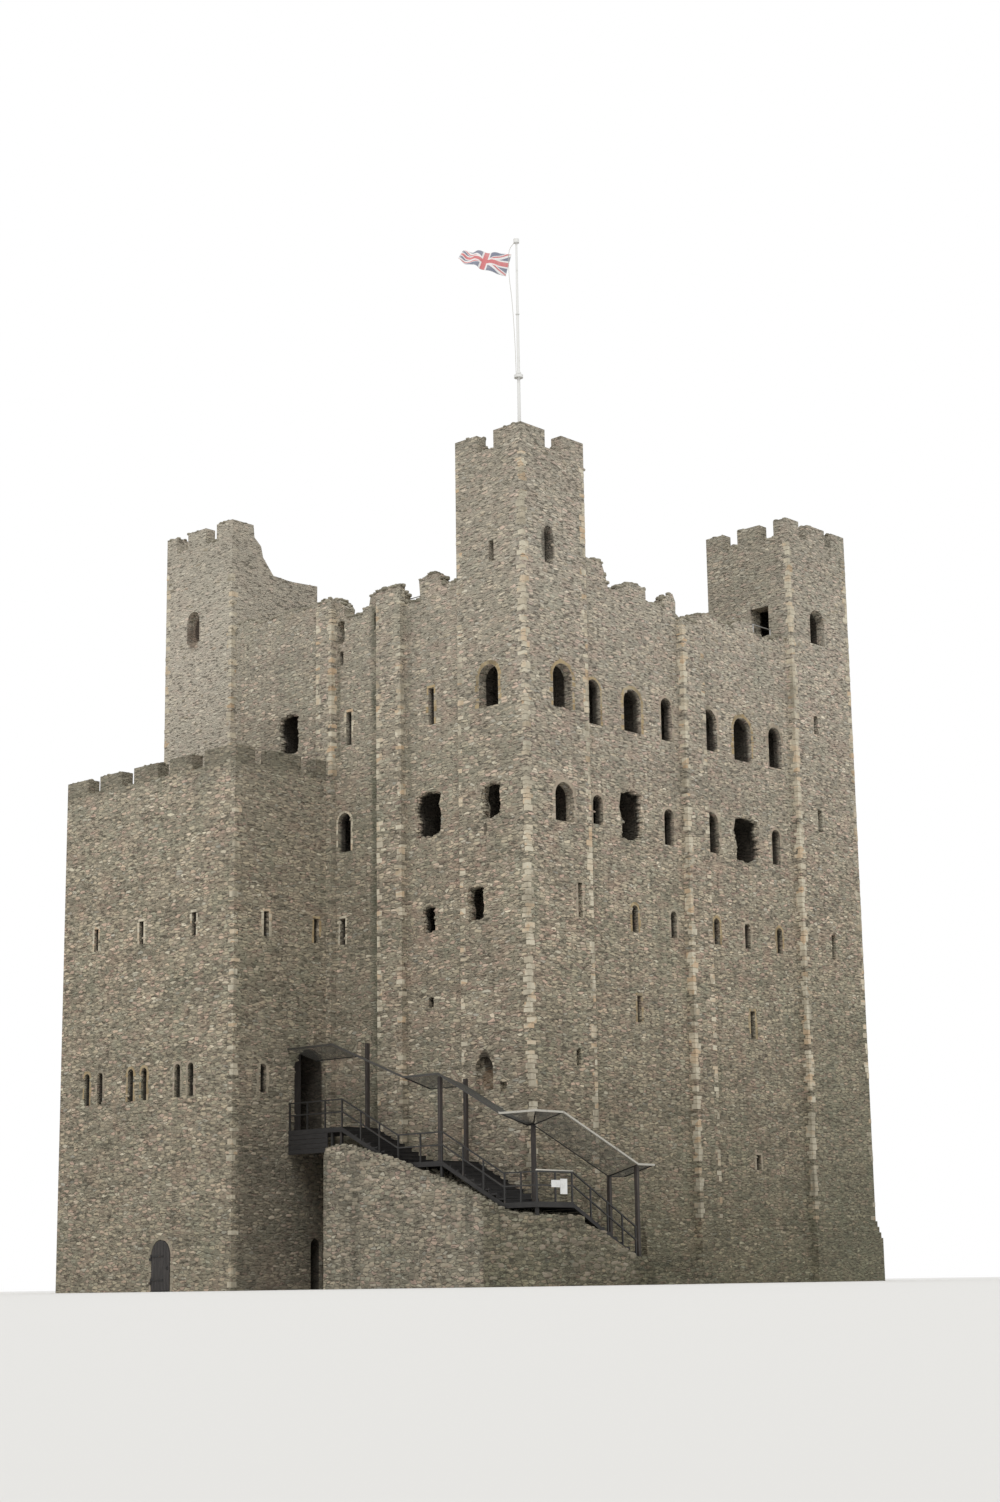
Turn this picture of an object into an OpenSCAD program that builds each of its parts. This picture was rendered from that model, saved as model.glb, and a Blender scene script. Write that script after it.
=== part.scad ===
// Roofless square castle keep with four corner turrets, a lower entrance tower
// against its north face and a covered stair that climbs round its north west corner.
// Scale model 1:2, millimetres. +Z is up, north is -Y, west is +X.
// The origin is the middle of the keep's plan on the lowest ground.

/* [Keep walls] */
// width of the keep across its corner turrets
keep_w = 10650; // [9600:10:12000]
// how far the walls stand back behind turrets and pilasters
wall_recess = 150; // [80:5:220]
// thickness of the walls up to the third floor
wall_thick = 1800; // [1500:10:2000]
// thickness of the walls above the third floor
wall_thick_top = 1525; // [1200:5:1700]
// height of the ledge where the walls become thinner
ledge_z = 8185; // [8000:5:8400]
// height of the wall walk
walk_z = 12735; // [12500:5:13200]
// thickness of the ruined parapets
parapet_t = 300; // [200:10:450]
// width of the pilaster on each face
pilaster_w = 680; // [500:10:900]
// width of the second, narrow pilaster on the north face
pilaster_small_w = 460; // [300:10:600]

/* [Plinth] */
// height of the upright part of the plinth
plinth_z = 880; // [700:10:1000]
// height of each set-off above the upright part
plinth_step_h = 115; // [60:5:150]
// how far the plinth stands out
plinth_out = 100; // [60:5:140]

/* [Turrets] */
// north face width of the north west turret
nw_x = 1750; // [1600:10:1900]
// west face width of the north west turret
nw_y = 1825; // [1600:10:1950]
// north face width of the north east turret
ne_x = 2200; // [1900:10:2400]
// side width of the north east turret
ne_y = 2475; // [2000:10:2600]
// face width of the two south turrets
south_x = 2225; // [1900:10:2400]
// side width of the two south turrets
south_y = 2125; // [1900:10:2400]
// height of the turrets' merlon tops
turret_z = 16235; // [15900:5:16800]
// depth of the notches between the turrets' merlons
crenel_h = 350; // [200:10:500]
// thickness of the turret walls above the wall walk
turret_t = 380; // [300:10:450]
// thickness of the turrets' parapets above their floors
turret_parapet_t = 260; // [200:10:380]
// width of the well inside each turret
well_w = 900; // [700:10:1000]
// height of the floor of each well
well_z = 2600; // [2300:10:2900]
// depth of the turret floor below the merlon tops
turret_deck_drop = 950; // [700:10:1200]

/* [Windows] */
// height of the sills of the first row of loops
row_a_z = 6655; // [6560:5:6700]
// height of the loops of the first row
row_a_h = 530; // [400:10:560]
// height of the sills of the second row of windows
row_b_z = 8520; // [8450:5:8600]
// height of the windows of the second row
row_b_h = 750; // [600:10:850]
// height of the sills of the gallery windows
row_c_z = 10640; // [10600:5:10700]
// height of the gallery windows
row_c_h = 870; // [700:10:900]
// height of the sills of the lowest loops
row_l_z = 4825; // [4600:5:4900]
// width of a round headed window
window_w = 520; // [400:10:580]
// width of a narrow loop
loop_w = 150; // [100:5:200]
// width of a wide opening
wide_w = 700; // [500:10:760]
// width of the embrasure behind each window
embrasure_w = 640; // [600:10:700]
// thickness of the wall in front of the embrasure
reveal = 200; // [200:10:400]

/* [Floors] */
// thickness of the ground floor
ground_t = 150; // [100:10:250]
// top of the entrance floor
floor_1_z = 2985; // [2900:5:3050]
// top of the second floor
floor_2_z = 6350; // [6250:5:6450]
// top of the third floor
floor_3_z = 8285; // [8285:5:8400]
// top of the gallery floor
floor_4_z = 10385; // [10300:5:10450]
// thickness of the floor boards
board_t = 60; // [40:5:80]
// depth of the floor joists
joist_d = 150; // [100:10:200]
// width of the floor joists
joist_w = 120; // [80:10:160]

/* [Entrance tower] */
// length of the entrance tower from east to west
fore_len = 5370; // [5000:10:5400]
// how far it stands out beyond the keep's east face
fore_over = 195; // [100:5:300]
// depth of the entrance tower in front of the keep's wall
fore_depth = 2540; // [2400:10:2800]
// thickness of its walls
fore_t = 700; // [600:10:760]
// height of the notches of its parapet
fore_crenel_z = 10095; // [9950:5:10200]
// height of the merlons above the notches
fore_merlon_h = 320; // [200:10:420]
// width of the notches of its parapet
fore_crenel_w = 390; // [150:10:450]
// thickness of its parapet
fore_parapet_t = 280; // [200:10:350]
// top of its roof
fore_deck_z = 9640; // [9500:10:9700]
// width of the entrance arch at the top of the stair
portal_w = 800; // [700:10:860]
// height of the entrance arch
portal_h = 1600; // [1450:10:1700]

/* [Ground door] */
// width of the door leaf
door_w = 560; // [480:5:640]
// height of the door leaf
door_h = 965; // [880:5:1100]
// thickness of the door leaf
door_t = 40; // [30:1:45]
// free gap round the leaf
door_gap = 9; // [8:0.5:12]
// how far the stop behind the leaf reaches in
door_stop = 30; // [20:1:40]
// distance of the door's middle from the tower's west corner
door_in = 2060; // [1900:10:2400]
// radius of the hinge knuckles
knuckle_r = 14; // [12:0.5:18]
// height of one hinge knuckle
knuckle_h = 60; // [40:1:70]

/* [Stair] */
// width of the old stair base
base_w = 1075; // [1000:5:1150]
// gap between the entrance tower and the old stair base
pit_w = 1110; // [1000:10:1200]
// width of the landings and flights
stair_w = 960; // [900:5:970]
// gap between the stair and the keep
stair_gap = 15; // [5:1:30]
// thickness of the landings
deck_t = 90; // [60:5:120]
// length of the entrance landing
platform_len = 1500; // [1400:10:1560]
// length of the middle landing
mid_len = 1150; // [1000:10:1200]
// top of the middle landing
mid_z = 2235; // [2180:5:2300]
// length of the upper flight
flight_1_len = 1500; // [1400:10:1600]
// top of the corner landing
corner_z = 1435; // [1400:5:1480]
// height of the stone landing at the foot
foot_z = 500; // [470:5:530]
// length of the flight on the west side
flight_3_len = 1700; // [1600:10:1750]
// thickness of a tread
tread_t = 30; // [20:1:40]
// height of the handrails above the treads
rail_h = 520; // [450:5:600]
// thickness of a rail
rail_t = 26; // [20:1:34]
// length of the stone steps at the foot
foot_len = 1500; // [1300:10:1600]
// going of each stone step
foot_going = 170; // [140:5:200]

/* [Canopy] */
// thickness of the canopy posts
post_t = 66; // [50:2:80]
// clear height of the canopy's outer edge over the landings
canopy_h = 1560; // [1450:5:1650]
// how much lower the inner edge of the canopy lies
canopy_tilt = 175; // [100:5:200]
// width of the canopy
canopy_w = 700; // [650:5:740]
// thickness of the mesh panels
panel_t = 14; // [10:1:20]
// depth of the canopy's edge bars
edge_t = 36; // [26:1:44]

/* [Flagpole] */
// height of the flagpole's top
pole_top_z = 20560; // [19800:10:21500]
// radius of the pole at its foot
pole_r = 40; // [30:1:48]
// radius of the pole at its top
pole_r_top = 20; // [14:1:26]
// radius of the cap
cap_r = 58; // [52:1:66]
// height of the collar
collar_z = 17600; // [17300:10:18000]
// length of the flag
flag_len = 1000; // [800:10:1100]
// height of the flag
flag_h = 470; // [380:10:560]
// thickness of the flag
flag_t = 8; // [6:1:12]
// radius of the halyard
halyard_r = 5; // [4:0.5:8]

/* [Hidden] */
half = keep_w / 2;
wp = half - wall_recess;
ip = wp - wall_thick;
ip_top = wp - wall_thick_top;
fore_e = -half - fore_over;
fore_wx = fore_e + fore_len;
fore_n = -wp - fore_depth;
fore_in_n = fore_n + fore_t;
pil_n_x = 1660;
pil_w_y = -210;
nwc_x = half - nw_x;
nwc_y = -half + nw_y;
door_x = fore_wx - door_in;
base_e = fore_wx + pit_w;
portal_y = -half - 420;
base_out = half + base_w;
st_in = half + stair_gap;
st_out = st_in + stair_w;
mid_x0 = fore_wx + platform_len + flight_1_len;
mid_x1 = mid_x0 + mid_len;
corner_x0 = st_in + 160;
foot_y = -st_in + flight_3_len;
pole_x = half - nw_x / 2 + 20;
pole_y = -half + nw_y / 2;
deck_z = turret_z - turret_deck_drop;
eps = 1;
stone = [0.62, 0.58, 0.50];
stone_dark = [0.50, 0.47, 0.41];
timber = [0.36, 0.27, 0.19];
steel = [0.22, 0.21, 0.20];

// shared shapes

module block(x0, x1, y0, y1, z0, z1) {
  translate([x0, y0, z0]) cube([x1 - x0, y1 - y0, z1 - z0]);
}

// outline of an arched opening standing on the X axis
module arch_2d(w, h) {
  r = w / 2;
  translate([-r, 0]) square([w, h - r]);
  translate([0, h - r]) circle(r, $fn = 32);
}

// outline of a broken opening
module ragged_2d(w, h) {
  polygon([[-w * 0.42, 0], [w * 0.1, -h * 0.04], [w * 0.45, h * 0.05], [w * 0.5, h * 0.4],
    [w * 0.43, h * 0.7], [w * 0.5, h * 0.92], [w * 0.05, h], [-w * 0.4, h * 0.94],
    [-w * 0.5, h * 0.6], [-w * 0.38, h * 0.35]]);
}

// one window with its wider embrasure, cut through a wall whose face is y = face,
// seen from outside: kind 0 loop, 1 round head, 2 broken
module window(x, face, t, z, h, w, kind) {
  translate([x, face - 60, z]) rotate([-90, 0, 0]) mirror([0, 1, 0]) linear_extrude(t + 120) {
    if (kind == 0) translate([-w / 2, 0]) square([w, h]);
    if (kind == 1) arch_2d(w, h);
    if (kind == 2) ragged_2d(w, h);
  }
  ew = max(embrasure_w, w + 60);
  translate([x, face + reveal, z - 60]) rotate([-90, 0, 0]) mirror([0, 1, 0])
    linear_extrude(t) arch_2d(ew, h + 60 + ew * 0.22);
}

// a plain hole along Y, for thin walls
module hole_y(x, y0, y1, z, h, w, kind) {
  translate([x, y0, z]) rotate([-90, 0, 0]) mirror([0, 1, 0]) linear_extrude(y1 - y0) {
    if (kind == 0) translate([-w / 2, 0]) square([w, h]);
    if (kind == 1) arch_2d(w, h);
    if (kind == 2) ragged_2d(w, h);
  }
}

// places a north face shape on another face: 0 north, 1 west, 2 south, 3 east
module face(n) { rotate([0, 0, 90 * n]) children(); }

module ne_plan() { translate([-half, -half]) square([ne_x, ne_y]); }
module nw_plan() {
  translate([nwc_x, -half]) square([nw_x, nw_y]);
  translate([ip, -wp]) square([wp - ip, wp - ip]);
}
module sw_plan() { translate([half - south_x, half - south_y]) square([south_x, south_y]); }
module se_plan() { translate([-half, half - south_y]) square([south_x, south_y]); }

module turret_plans() {
  ne_plan();
  nw_plan();
  sw_plan();
  se_plan();
}

module keep_plan() {
  translate([-wp, -wp]) square(2 * wp);
  turret_plans();
  translate([pil_n_x - pilaster_w / 2, -half]) square([pilaster_w, 500]);
  translate([half - 500, pil_w_y - pilaster_w / 2]) square([500, pilaster_w]);
  translate([-pilaster_w / 2, half - 500]) square([pilaster_w, 500]);
  translate([-half, -pilaster_w / 2]) square([500, pilaster_w]);
  translate([-pilaster_small_w, -half]) square([pilaster_small_w, 500]);
}

module tower_plan() { translate([fore_e, fore_n]) square([fore_len, fore_depth + 1]); }

module base_plan() {
  translate([base_e, -base_out]) square([base_out - base_e, base_out - wp]);
  translate([wp, -base_out]) square([base_out - wp, base_out - st_in + flight_3_len]);
}

// the keep

module keep_ground_floor() {
  color(stone_dark) linear_extrude(ground_t) difference() {
    square(2 * ip, center = true);
    turret_plans();
  }
}

module plinth() {
  color(stone) difference() {
    union() {
      linear_extrude(plinth_z) offset(delta = plinth_out) keep_plan();
      linear_extrude(plinth_z + plinth_step_h) offset(delta = plinth_out * 0.75) keep_plan();
      linear_extrude(plinth_z + 2 * plinth_step_h) offset(delta = plinth_out * 0.5) keep_plan();
      linear_extrude(plinth_z + 3 * plinth_step_h) offset(delta = plinth_out * 0.25) keep_plan();
    }
    translate([0, 0, -1]) linear_extrude(plinth_z + 4 * plinth_step_h) {
      keep_plan();
      tower_plan();
      base_plan();
      translate([wp, foot_y - 1]) square([base_w + wall_recess, foot_len + 1]);
      translate([fore_wx - 1, -half - base_w]) square([pit_w + 2, base_w + wall_recess]);
    }
  }
}

// a wall between two turrets, as seen from outside on the north side
module wall_body(x0, x1) {
  block(x0, x1, -wp, -ip, 0, ledge_z);
  block(x0, x1, -wp, -ip_top, ledge_z, walk_z);
}

module pilaster(x, w, top) { block(x - w / 2, x + w / 2, -half, -wp, 0, top); }

module full_window(x, z, h, w, kind) {
  window(x, -wp, wall_thick, z, h, w, kind);
}

module north_wall() {
  color(stone) difference() {
    union() {
      wall_body(-half + ne_x, ip);
      pilaster(pil_n_x, pilaster_w, walk_z);
      pilaster(-pilaster_small_w / 2, pilaster_small_w, walk_z);
    }
    block(fore_e, fore_wx, -half - 10, -wp, -10, fore_crenel_z);
    full_window(2600, row_a_z - 15, row_a_h, 370, 2);
    full_window(180, row_a_z, row_a_h, loop_w, 0);
    full_window(2600, row_b_z - 10, row_b_h + 150, wide_w + 20, 2);
    full_window(230, row_b_z, row_b_h + 40, 370, 1);
    full_window(2705, row_c_z + 70, row_c_h - 130, loop_w, 0);
    full_window(365, row_c_z + 45, row_c_h - 180, loop_w, 0);
    full_window(-1440, row_c_z + 130, row_c_h, wide_w - 80, 2);
    full_window(2635, 5200, 200, loop_w, 2);
    hole_y(-1450, -wp - 50, -ip + 50, floor_1_z, 1250, 720, 1);
    hole_y(150, -wp - 50, -ip + 50, 12790 - 400, 300, 120, 2);
  }
}

module west_wall() {
  color(stone) difference() {
    face(1) union() {
      wall_body(-ip, half - south_y);
      pilaster(pil_w_y, pilaster_w, walk_z);
    }
    face(1) {
      for (y = [-2100, -915, 455, 1465, 2555]) full_window(y, row_a_z, row_a_h, loop_w + 30, 1);
      full_window(-3130, row_b_z + 130, row_b_h - 180, 290, 1);
      full_window(-2150, row_b_z - 50, row_b_h + 250, wide_w, 2);
      full_window(-970, row_b_z - 15, row_b_h - 20, 300, 1);
      full_window(390, row_b_z, row_b_h + 90, window_w - 60, 1);
      full_window(1530, row_b_z - 60, row_b_h + 210, wide_w + 140, 2);
      full_window(2560, row_b_z, row_b_h - 10, 280, 1);
      for (y = [-2020, 415]) full_window(y, row_c_z, row_c_h, window_w, 1);
      full_window(-3190, row_c_z - 20, row_c_h + 20, 400, 1);
      full_window(-960, row_c_z - 10, row_c_h + 10, 340, 1);
      full_window(1530, row_c_z - 60, row_c_h + 60, window_w + 70, 1);
      full_window(2650, row_c_z - 40, row_c_h + 10, 440, 1);
      full_window(-2045, row_l_z + 90, 520, loop_w - 30, 0);
      full_window(1530, row_l_z, 560, loop_w, 0);
      full_window(1560, 2205, 295, loop_w, 0);
    }
  }
}

module plain_windows(xs) {
  for (x = xs) {
    full_window(x, row_a_z, row_a_h, loop_w, 0);
    full_window(x, row_b_z, row_b_h, 300, 1);
    full_window(x, row_c_z, row_c_h, window_w, 1);
  }
  full_window(xs[0], row_l_z, 560, loop_w, 0);
  full_window(xs[3], row_l_z, 560, loop_w, 0);
}

module south_wall() {
  color(stone) difference() {
    face(2) union() {
      wall_body(-half + south_x, half - south_x);
      pilaster(0, pilaster_w, walk_z);
    }
    face(2) plain_windows([-2150, -1000, 1000, 2150]);
  }
}

module east_wall() {
  color(stone) difference() {
    face(3) union() {
      wall_body(-half + south_y, half - ne_y);
      pilaster(0, pilaster_w, walk_z);
    }
    face(3) plain_windows([-2200, -1000, 850, 2000]);
  }
}

// turrets

module well(cx, cy) {
  block(cx - well_w / 2, cx + well_w / 2, cy - well_w / 2, cy + well_w / 2, well_z, walk_z + 1);
}

nw_cx = half - nw_x / 2;
nw_cy = -half + nw_y / 2;
ne_cx = -half + ne_x / 2;
ne_cy = -half + ne_y / 2;
s_cx = half - south_x / 2;
s_cy = half - south_y / 2;

// wall thickness between the well and the outside
skin_n = (nw_y - well_w) / 2;
skin_w = (nw_x - well_w) / 2;

module turret_window(x, t, z, h, w, kind) {
  window(x, -half, t - reveal + 10, z, h, w, kind);
}

module nw_turret() {
  color(stone) difference() {
    linear_extrude(walk_z) nw_plan();
    well(nw_cx, nw_cy);
    turret_window(nw_cx - 60, skin_n, row_c_z + 120, row_c_h - 50, window_w - 20, 1);
    turret_window(nw_cx - 40, skin_n, row_b_z + 90, row_b_h - 60, window_w, 2);
    turret_window(nw_cx - 470, skin_n, row_a_z + 45, row_a_h + 135, 460, 2);
    face(1) {
      turret_window(nw_cy + 160, skin_w, row_c_z + 100, row_c_h, window_w + 30, 1);
      turret_window(nw_cy + 150, skin_w, row_b_z + 20, row_b_h, window_w, 1);
      hole_y(nw_cy + 540, -half - 50, -half + 500, row_a_z + 100, row_a_h + 130, loop_w - 30, 0);
      hole_y(nw_cy + 400, -half - 50, -half + 500, 3975, 315, loop_w - 20, 0);
    }
    hole_y(nw_cx - 300, -half - 50, -half + 130, 3470, 680, 450, 1);
    hole_y(nw_cx + 180, -half - 50, -half + 90, 3490, 170, 170, 0);
  }
}

module ne_turret() {
  color(stone) difference() {
    linear_extrude(walk_z) ne_plan();
    well(ne_cx, ne_cy);
    face(3) {
      hole_y(-ne_cy, -half - 50, -half + 800, row_b_z, row_b_h, 230, 1);
      hole_y(-ne_cy, -half - 50, -half + 800, row_c_z, row_c_h, 230, 1);
    }
  }
}

module south_turret_cuts() {
  hole_y(s_cx - 300, -half - 50, -half + 700, row_b_z + 855, 475, loop_w, 0);
  hole_y(s_cx - 300, -half - 50, -half + 700, row_c_z + 870, 405, loop_w, 0);
  hole_y(s_cx, -half - 50, -half + 700, row_a_z, row_a_h, loop_w, 0);
}

module sw_turret() {
  color(stone) difference() {
    linear_extrude(walk_z) sw_plan();
    well(s_cx, s_cy);
    face(1) translate([s_cy - s_cx, 0, 0]) south_turret_cuts();
    face(2) translate([-2 * s_cx, 0, 0]) south_turret_cuts();
  }
}

module se_turret() {
  color(stone) difference() {
    linear_extrude(walk_z) se_plan();
    well(-s_cx, s_cy);
    face(2) south_turret_cuts();
    face(3) translate([-s_cx - s_cy, 0, 0]) south_turret_cuts();
  }
}

// turret above the wall walk: hollow, with a floor and notched walls
module turret_top(sx, sy, notch_x, notch_y) {
  difference() {
    translate([-sx / 2, -sy / 2, walk_z]) cube([sx, sy, turret_z - walk_z]);
    translate([-sx / 2 + turret_parapet_t, -sy / 2 + turret_parapet_t, deck_z])
      cube([sx - 2 * turret_parapet_t, sy - 2 * turret_parapet_t, turret_z]);
    translate([-sx / 2 + turret_t, -sy / 2 + turret_t, walk_z - 1])
      cube([sx - 2 * turret_t, sy - 2 * turret_t, deck_z - 160 - walk_z]);
    for (n = notch_x) translate([n[0], -sy, turret_z - crenel_h])
      cube([n[1], 2 * sy, crenel_h + 1]);
    for (n = notch_y) translate([-sx, n[0], turret_z - crenel_h])
      cube([2 * sx, n[1], crenel_h + 1]);
  }
}

module nw_turret_top() {
  color(stone) difference() {
    translate([nw_cx, nw_cy, 0])
      turret_top(nw_x, nw_y, [[-284, 444]], [[-215, 475]]);
    hole_y(nw_cx + 60, -half - 50, nw_cy, 13605, 425, 130, 0);
    face(1) hole_y(nw_cy - 160, -half - 50, -half + 600, 13545, 750, 240, 1);
    hole_y(nw_cx, nw_cy, -half + nw_y + 50, walk_z + 100, 950, 450, 1);
  }
}

module ne_turret_top() {
  color(stone) difference() {
    translate([ne_cx, ne_cy, 0])
      turret_top(ne_x, ne_y, [[-765, 380], [215, 365]], [[500, 380]]);
    // the west side is broken down
    translate([-half + ne_x + 50, 0, 0]) rotate([0, -90, 0]) linear_extrude(turret_t + 700)
      polygon([[turret_z + 10, -half + 600], [turret_z - 275, -half + 630],
        [turret_z - 435, -half + 820], [turret_z - 675, -half + 880],
        [turret_z - 1025, -half + 1180], [turret_z - 1055, -half + 1700],
        [turret_z - 1005, -half + ne_y + 10], [turret_z + 10, -half + ne_y + 10]]);
    // and so is the south side behind it
    translate([0, -half + ne_y + 50, 0]) rotate([90, 0, 0]) linear_extrude(turret_t + 130)
      polygon([[-half + ne_x + 60, turret_z + 10], [-half + ne_x + 60, turret_z - 1005],
        [-half + ne_x - 500, turret_z - 960], [-half + ne_x - 900, turret_z - 860],
        [-half + ne_x - 1250, turret_z - 690], [-half + ne_x - 1600, turret_z - 380],
        [-half + ne_x - 1750, turret_z + 10]]);
    hole_y(ne_cx - 168, -half - 50, -half + 160, 13720, 700, 400, 1);
  }
}

module sw_turret_top() {
  color(stone) difference() {
    translate([s_cx, s_cy, 0])
      turret_top(south_x, south_y, [[-623, 383], [370, 380]], [[-630, 320], [320, 260]]);
    hole_y(s_cx + 290, half - south_y - 50, half - south_y + turret_t + 50, walk_z + 80, 1550, 480, 0);
    face(1) hole_y(s_cy - 100, -half - 50, -half + turret_t + 50, 13545, 780, 520, 1);
  }
}

module se_turret_top() {
  color(stone) difference() {
    translate([-s_cx, s_cy, 0])
      turret_top(south_x, south_y, [[-750, 380], [240, 383]], [[-630, 320], [320, 260]]);
    face(3) hole_y(-s_cy + 100, -half - 50, -half + turret_t + 50, 13545, 780, 520, 1);
    hole_y(-s_cx - 290, half - south_y - 50, half - south_y + turret_t + 50, walk_z + 80, 1550, 480, 0);
  }
}

// ruined parapets: points are [place along the wall, height above the wall walk]

module parapet(x0, x1, pts) {
  intersection() {
    rotate([90, 0, 0]) translate([0, walk_z, wp - parapet_t]) linear_extrude(parapet_t)
      polygon(concat([[x0, 0]], [for (p = pts) [min(x1, max(x0, p[0])), p[1]]], [[x1, 0]]));
    block(x0, x1, -half, half, walk_z, turret_z);
  }
}

north_points = [[-3125, 1150], [-2700, 1190], [-2300, 1050], [-1900, 1080], [-1400, 1120],
  [-900, 1060], [-505, 1105], [-385, 1155], [-20, 1095], [110, 1035], [235, 860], [215, 720],
  [310, 640], [750, 610], [795, 715], [960, 730], [1005, 930], [1268, 980], [1545, 1000],
  [1780, 900], [1860, 790], [1790, 630], [2380, 550], [2420, 665], [2395, 960], [2620, 1035],
  [2860, 1030], [2960, 850], [3080, 745], [3575, 740]];
west_points = [[-3500, 1230], [-3275, 1225], [-2855, 1235], [-2740, 970], [-2660, 700],
  [-2510, 730], [-1975, 985], [-1695, 985], [-1510, 935], [-1505, 685], [-925, 705],
  [-885, 875], [-645, 1030], [-555, 860], [-565, 630], [-395, 530], [-10, 690], [560, 835],
  [900, 760], [1300, 700], [1500, 900], [2000, 930], [2050, 700], [2600, 660], [2900, 820],
  [3200, 800]];
south_points = [[-3200, 900], [-2500, 950], [-2450, 650], [-2100, 640], [-2050, 930], [-1200, 960],
  [-1150, 680], [-800, 650], [-750, 900], [300, 930], [350, 640], [800, 620], [850, 880],
  [1900, 900], [1950, 660], [2350, 640], [2400, 850], [3100, 900]];
east_points = [[-3200, 900], [-2400, 940], [-2350, 660], [-1950, 640], [-1900, 900], [-900, 930],
  [-850, 620], [-500, 600], [-450, 840], [500, 880], [550, 620], [950, 600], [1000, 800],
  [2000, 860], [2400, 760], [2850, 820]];

module north_parapet() {
  color(stone) difference() {
    union() {
      parapet(-half + ne_x, nwc_x, north_points);
      block(pil_n_x - pilaster_w / 2, pil_n_x + pilaster_w / 2, -half, -wp, walk_z, walk_z + 930);
      block(-pilaster_small_w, 0, -half, -wp, walk_z, walk_z + 1030);
    }
    hole_y(130, -half - 50, -wp + parapet_t + 50, walk_z + 130, 470, 230, 2);
    hole_y(1160, -half - 50, -wp + parapet_t + 50, walk_z + 150, 430, 120, 2);
  }
}

module west_parapet() {
  color(stone) face(1) {
    parapet(nwc_y, half - south_y, west_points);
    block(pil_w_y - pilaster_w / 2, pil_w_y + pilaster_w / 2, -half, -wp, walk_z, walk_z + 500);
  }
}

module south_parapet() {
  color(stone) face(2) {
    parapet(-half + south_x, half - south_x, south_points);
    block(-pilaster_w / 2, pilaster_w / 2, -half, -wp, walk_z, walk_z + 880);
  }
}

module east_parapet() {
  color(stone) face(3) {
    parapet(-half + south_y, half - ne_y, east_points);
    block(-pilaster_w / 2, pilaster_w / 2, -half, -wp, walk_z, walk_z + 800);
  }
}

// timber floors inside the keep

module timber_floor(r, top) {
  color(timber) difference() {
    union() {
      block(-r, r, -r, r, top - board_t, top);
      for (i = [-3:3]) translate([i * r / 3.6 - joist_w / 2, -r, top - board_t - joist_d])
        cube([joist_w, 2 * r, joist_d + 1]);
    }
    translate([0, 0, top - board_t - joist_d - 1]) linear_extrude(board_t + joist_d + 2)
      turret_plans();
  }
}

module entrance_floor() { timber_floor(ip, floor_1_z); }
module second_floor() { timber_floor(ip, floor_2_z); }
module gallery_floor() { timber_floor(ip_top, floor_4_z); }

module third_floor() {
  color(timber) difference() {
    union() {
      block(-ip_top, ip_top, -ip_top, ip_top, ledge_z, floor_3_z);
      for (i = [-3:3]) translate([i * ip / 3.6 - joist_w / 2, -ip, ledge_z - joist_d])
        cube([joist_w, 2 * ip, joist_d + 1]);
    }
    translate([0, 0, ledge_z - joist_d - 1]) linear_extrude(floor_3_z - ledge_z + joist_d + 2)
      turret_plans();
  }
}

// entrance tower

door_x0 = door_x - door_w / 2 - door_gap;
door_x1 = door_x + door_w / 2 + door_gap;
over_z = door_h + door_gap + 60;
pass_x0 = door_x0 - 200;
pass_x1 = door_x1 + 200;

// arched rebate for the leaf and the passage behind it
module doorway_cut() {
  hole_y(door_x, fore_n - 10, fore_n + door_t + 12, -10, door_h + door_gap + 10,
    door_w + 2 * door_gap, 1);
  hole_y(door_x, fore_n, fore_in_n + 10, -10, door_h + door_gap + 10 - door_stop,
    door_w + 2 * door_gap - 2 * door_stop, 1);
}

module tower_holes_north() {
  for (d = [4420, 4845, 3020, 3440, 1590, 1990])
    hole_y(fore_wx - d + 350, fore_n - 50, fore_in_n + 50, 3670, 640, 170, 1);
  for (d = [4290, 2830, 1200]) hole_y(fore_wx - d, fore_n - 50, fore_in_n + 50, 6775, 460, 130, 0);
}

module tower_wall_beside_door() {
  color(stone_dark) difference() {
    block(pass_x1, fore_wx, fore_n, fore_in_n, 0, fore_deck_z);
    tower_holes_north();
  }
}

module tower_wall_east_part() {
  color(stone_dark) difference() {
    block(fore_e, pass_x0, fore_n, fore_in_n, 0, fore_deck_z);
    tower_holes_north();
  }
}

module tower_wall_over_door() {
  color(stone_dark) difference() {
    block(pass_x0, pass_x1, fore_n, fore_in_n, 0, fore_deck_z);
    doorway_cut();
    tower_holes_north();
  }
}

module tower_west_wall() {
  color(stone_dark) difference() {
    block(fore_wx - fore_t, fore_wx, fore_in_n, -wp, 0, fore_deck_z);
    face(1) {
      translate([portal_y, 0, 0]) hole_y(0, -fore_wx - 50, -fore_wx + fore_t + 50, floor_1_z, portal_h, portal_w, 1);
      hole_y(-6960, -fore_wx - 50, -fore_wx + fore_t + 50, 3690, 550, 190, 1);
      hole_y(-6890, -fore_wx - 50, -fore_wx + fore_t + 50, 6710, 490, 130, 0);
      hole_y(-5575, -fore_wx - 50, -fore_wx + fore_t + 50, 6690, 490, 130, 0);
      hole_y(-5560, -fore_wx - 50, -fore_wx + fore_t + 50, -10, 980, 300, 1);
    }
  }
}

module tower_east_wall() {
  color(stone_dark) difference() {
    block(fore_e, fore_e + fore_t, fore_in_n, -half, 0, fore_deck_z);
    face(3) {
      hole_y(6400, fore_e - 50, fore_e + fore_t + 50, 3690, 550, 190, 1);
      hole_y(6400, fore_e - 50, fore_e + fore_t + 50, 6710, 490, 130, 0);
    }
  }
}

module tower_floor_slab(z, t) {
  difference() {
    block(fore_e + fore_t, fore_wx - fore_t, fore_in_n, -wp, z - t, z);
    translate([0, 0, z - t - 1]) linear_extrude(t + 2) keep_plan();
  }
}

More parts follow.
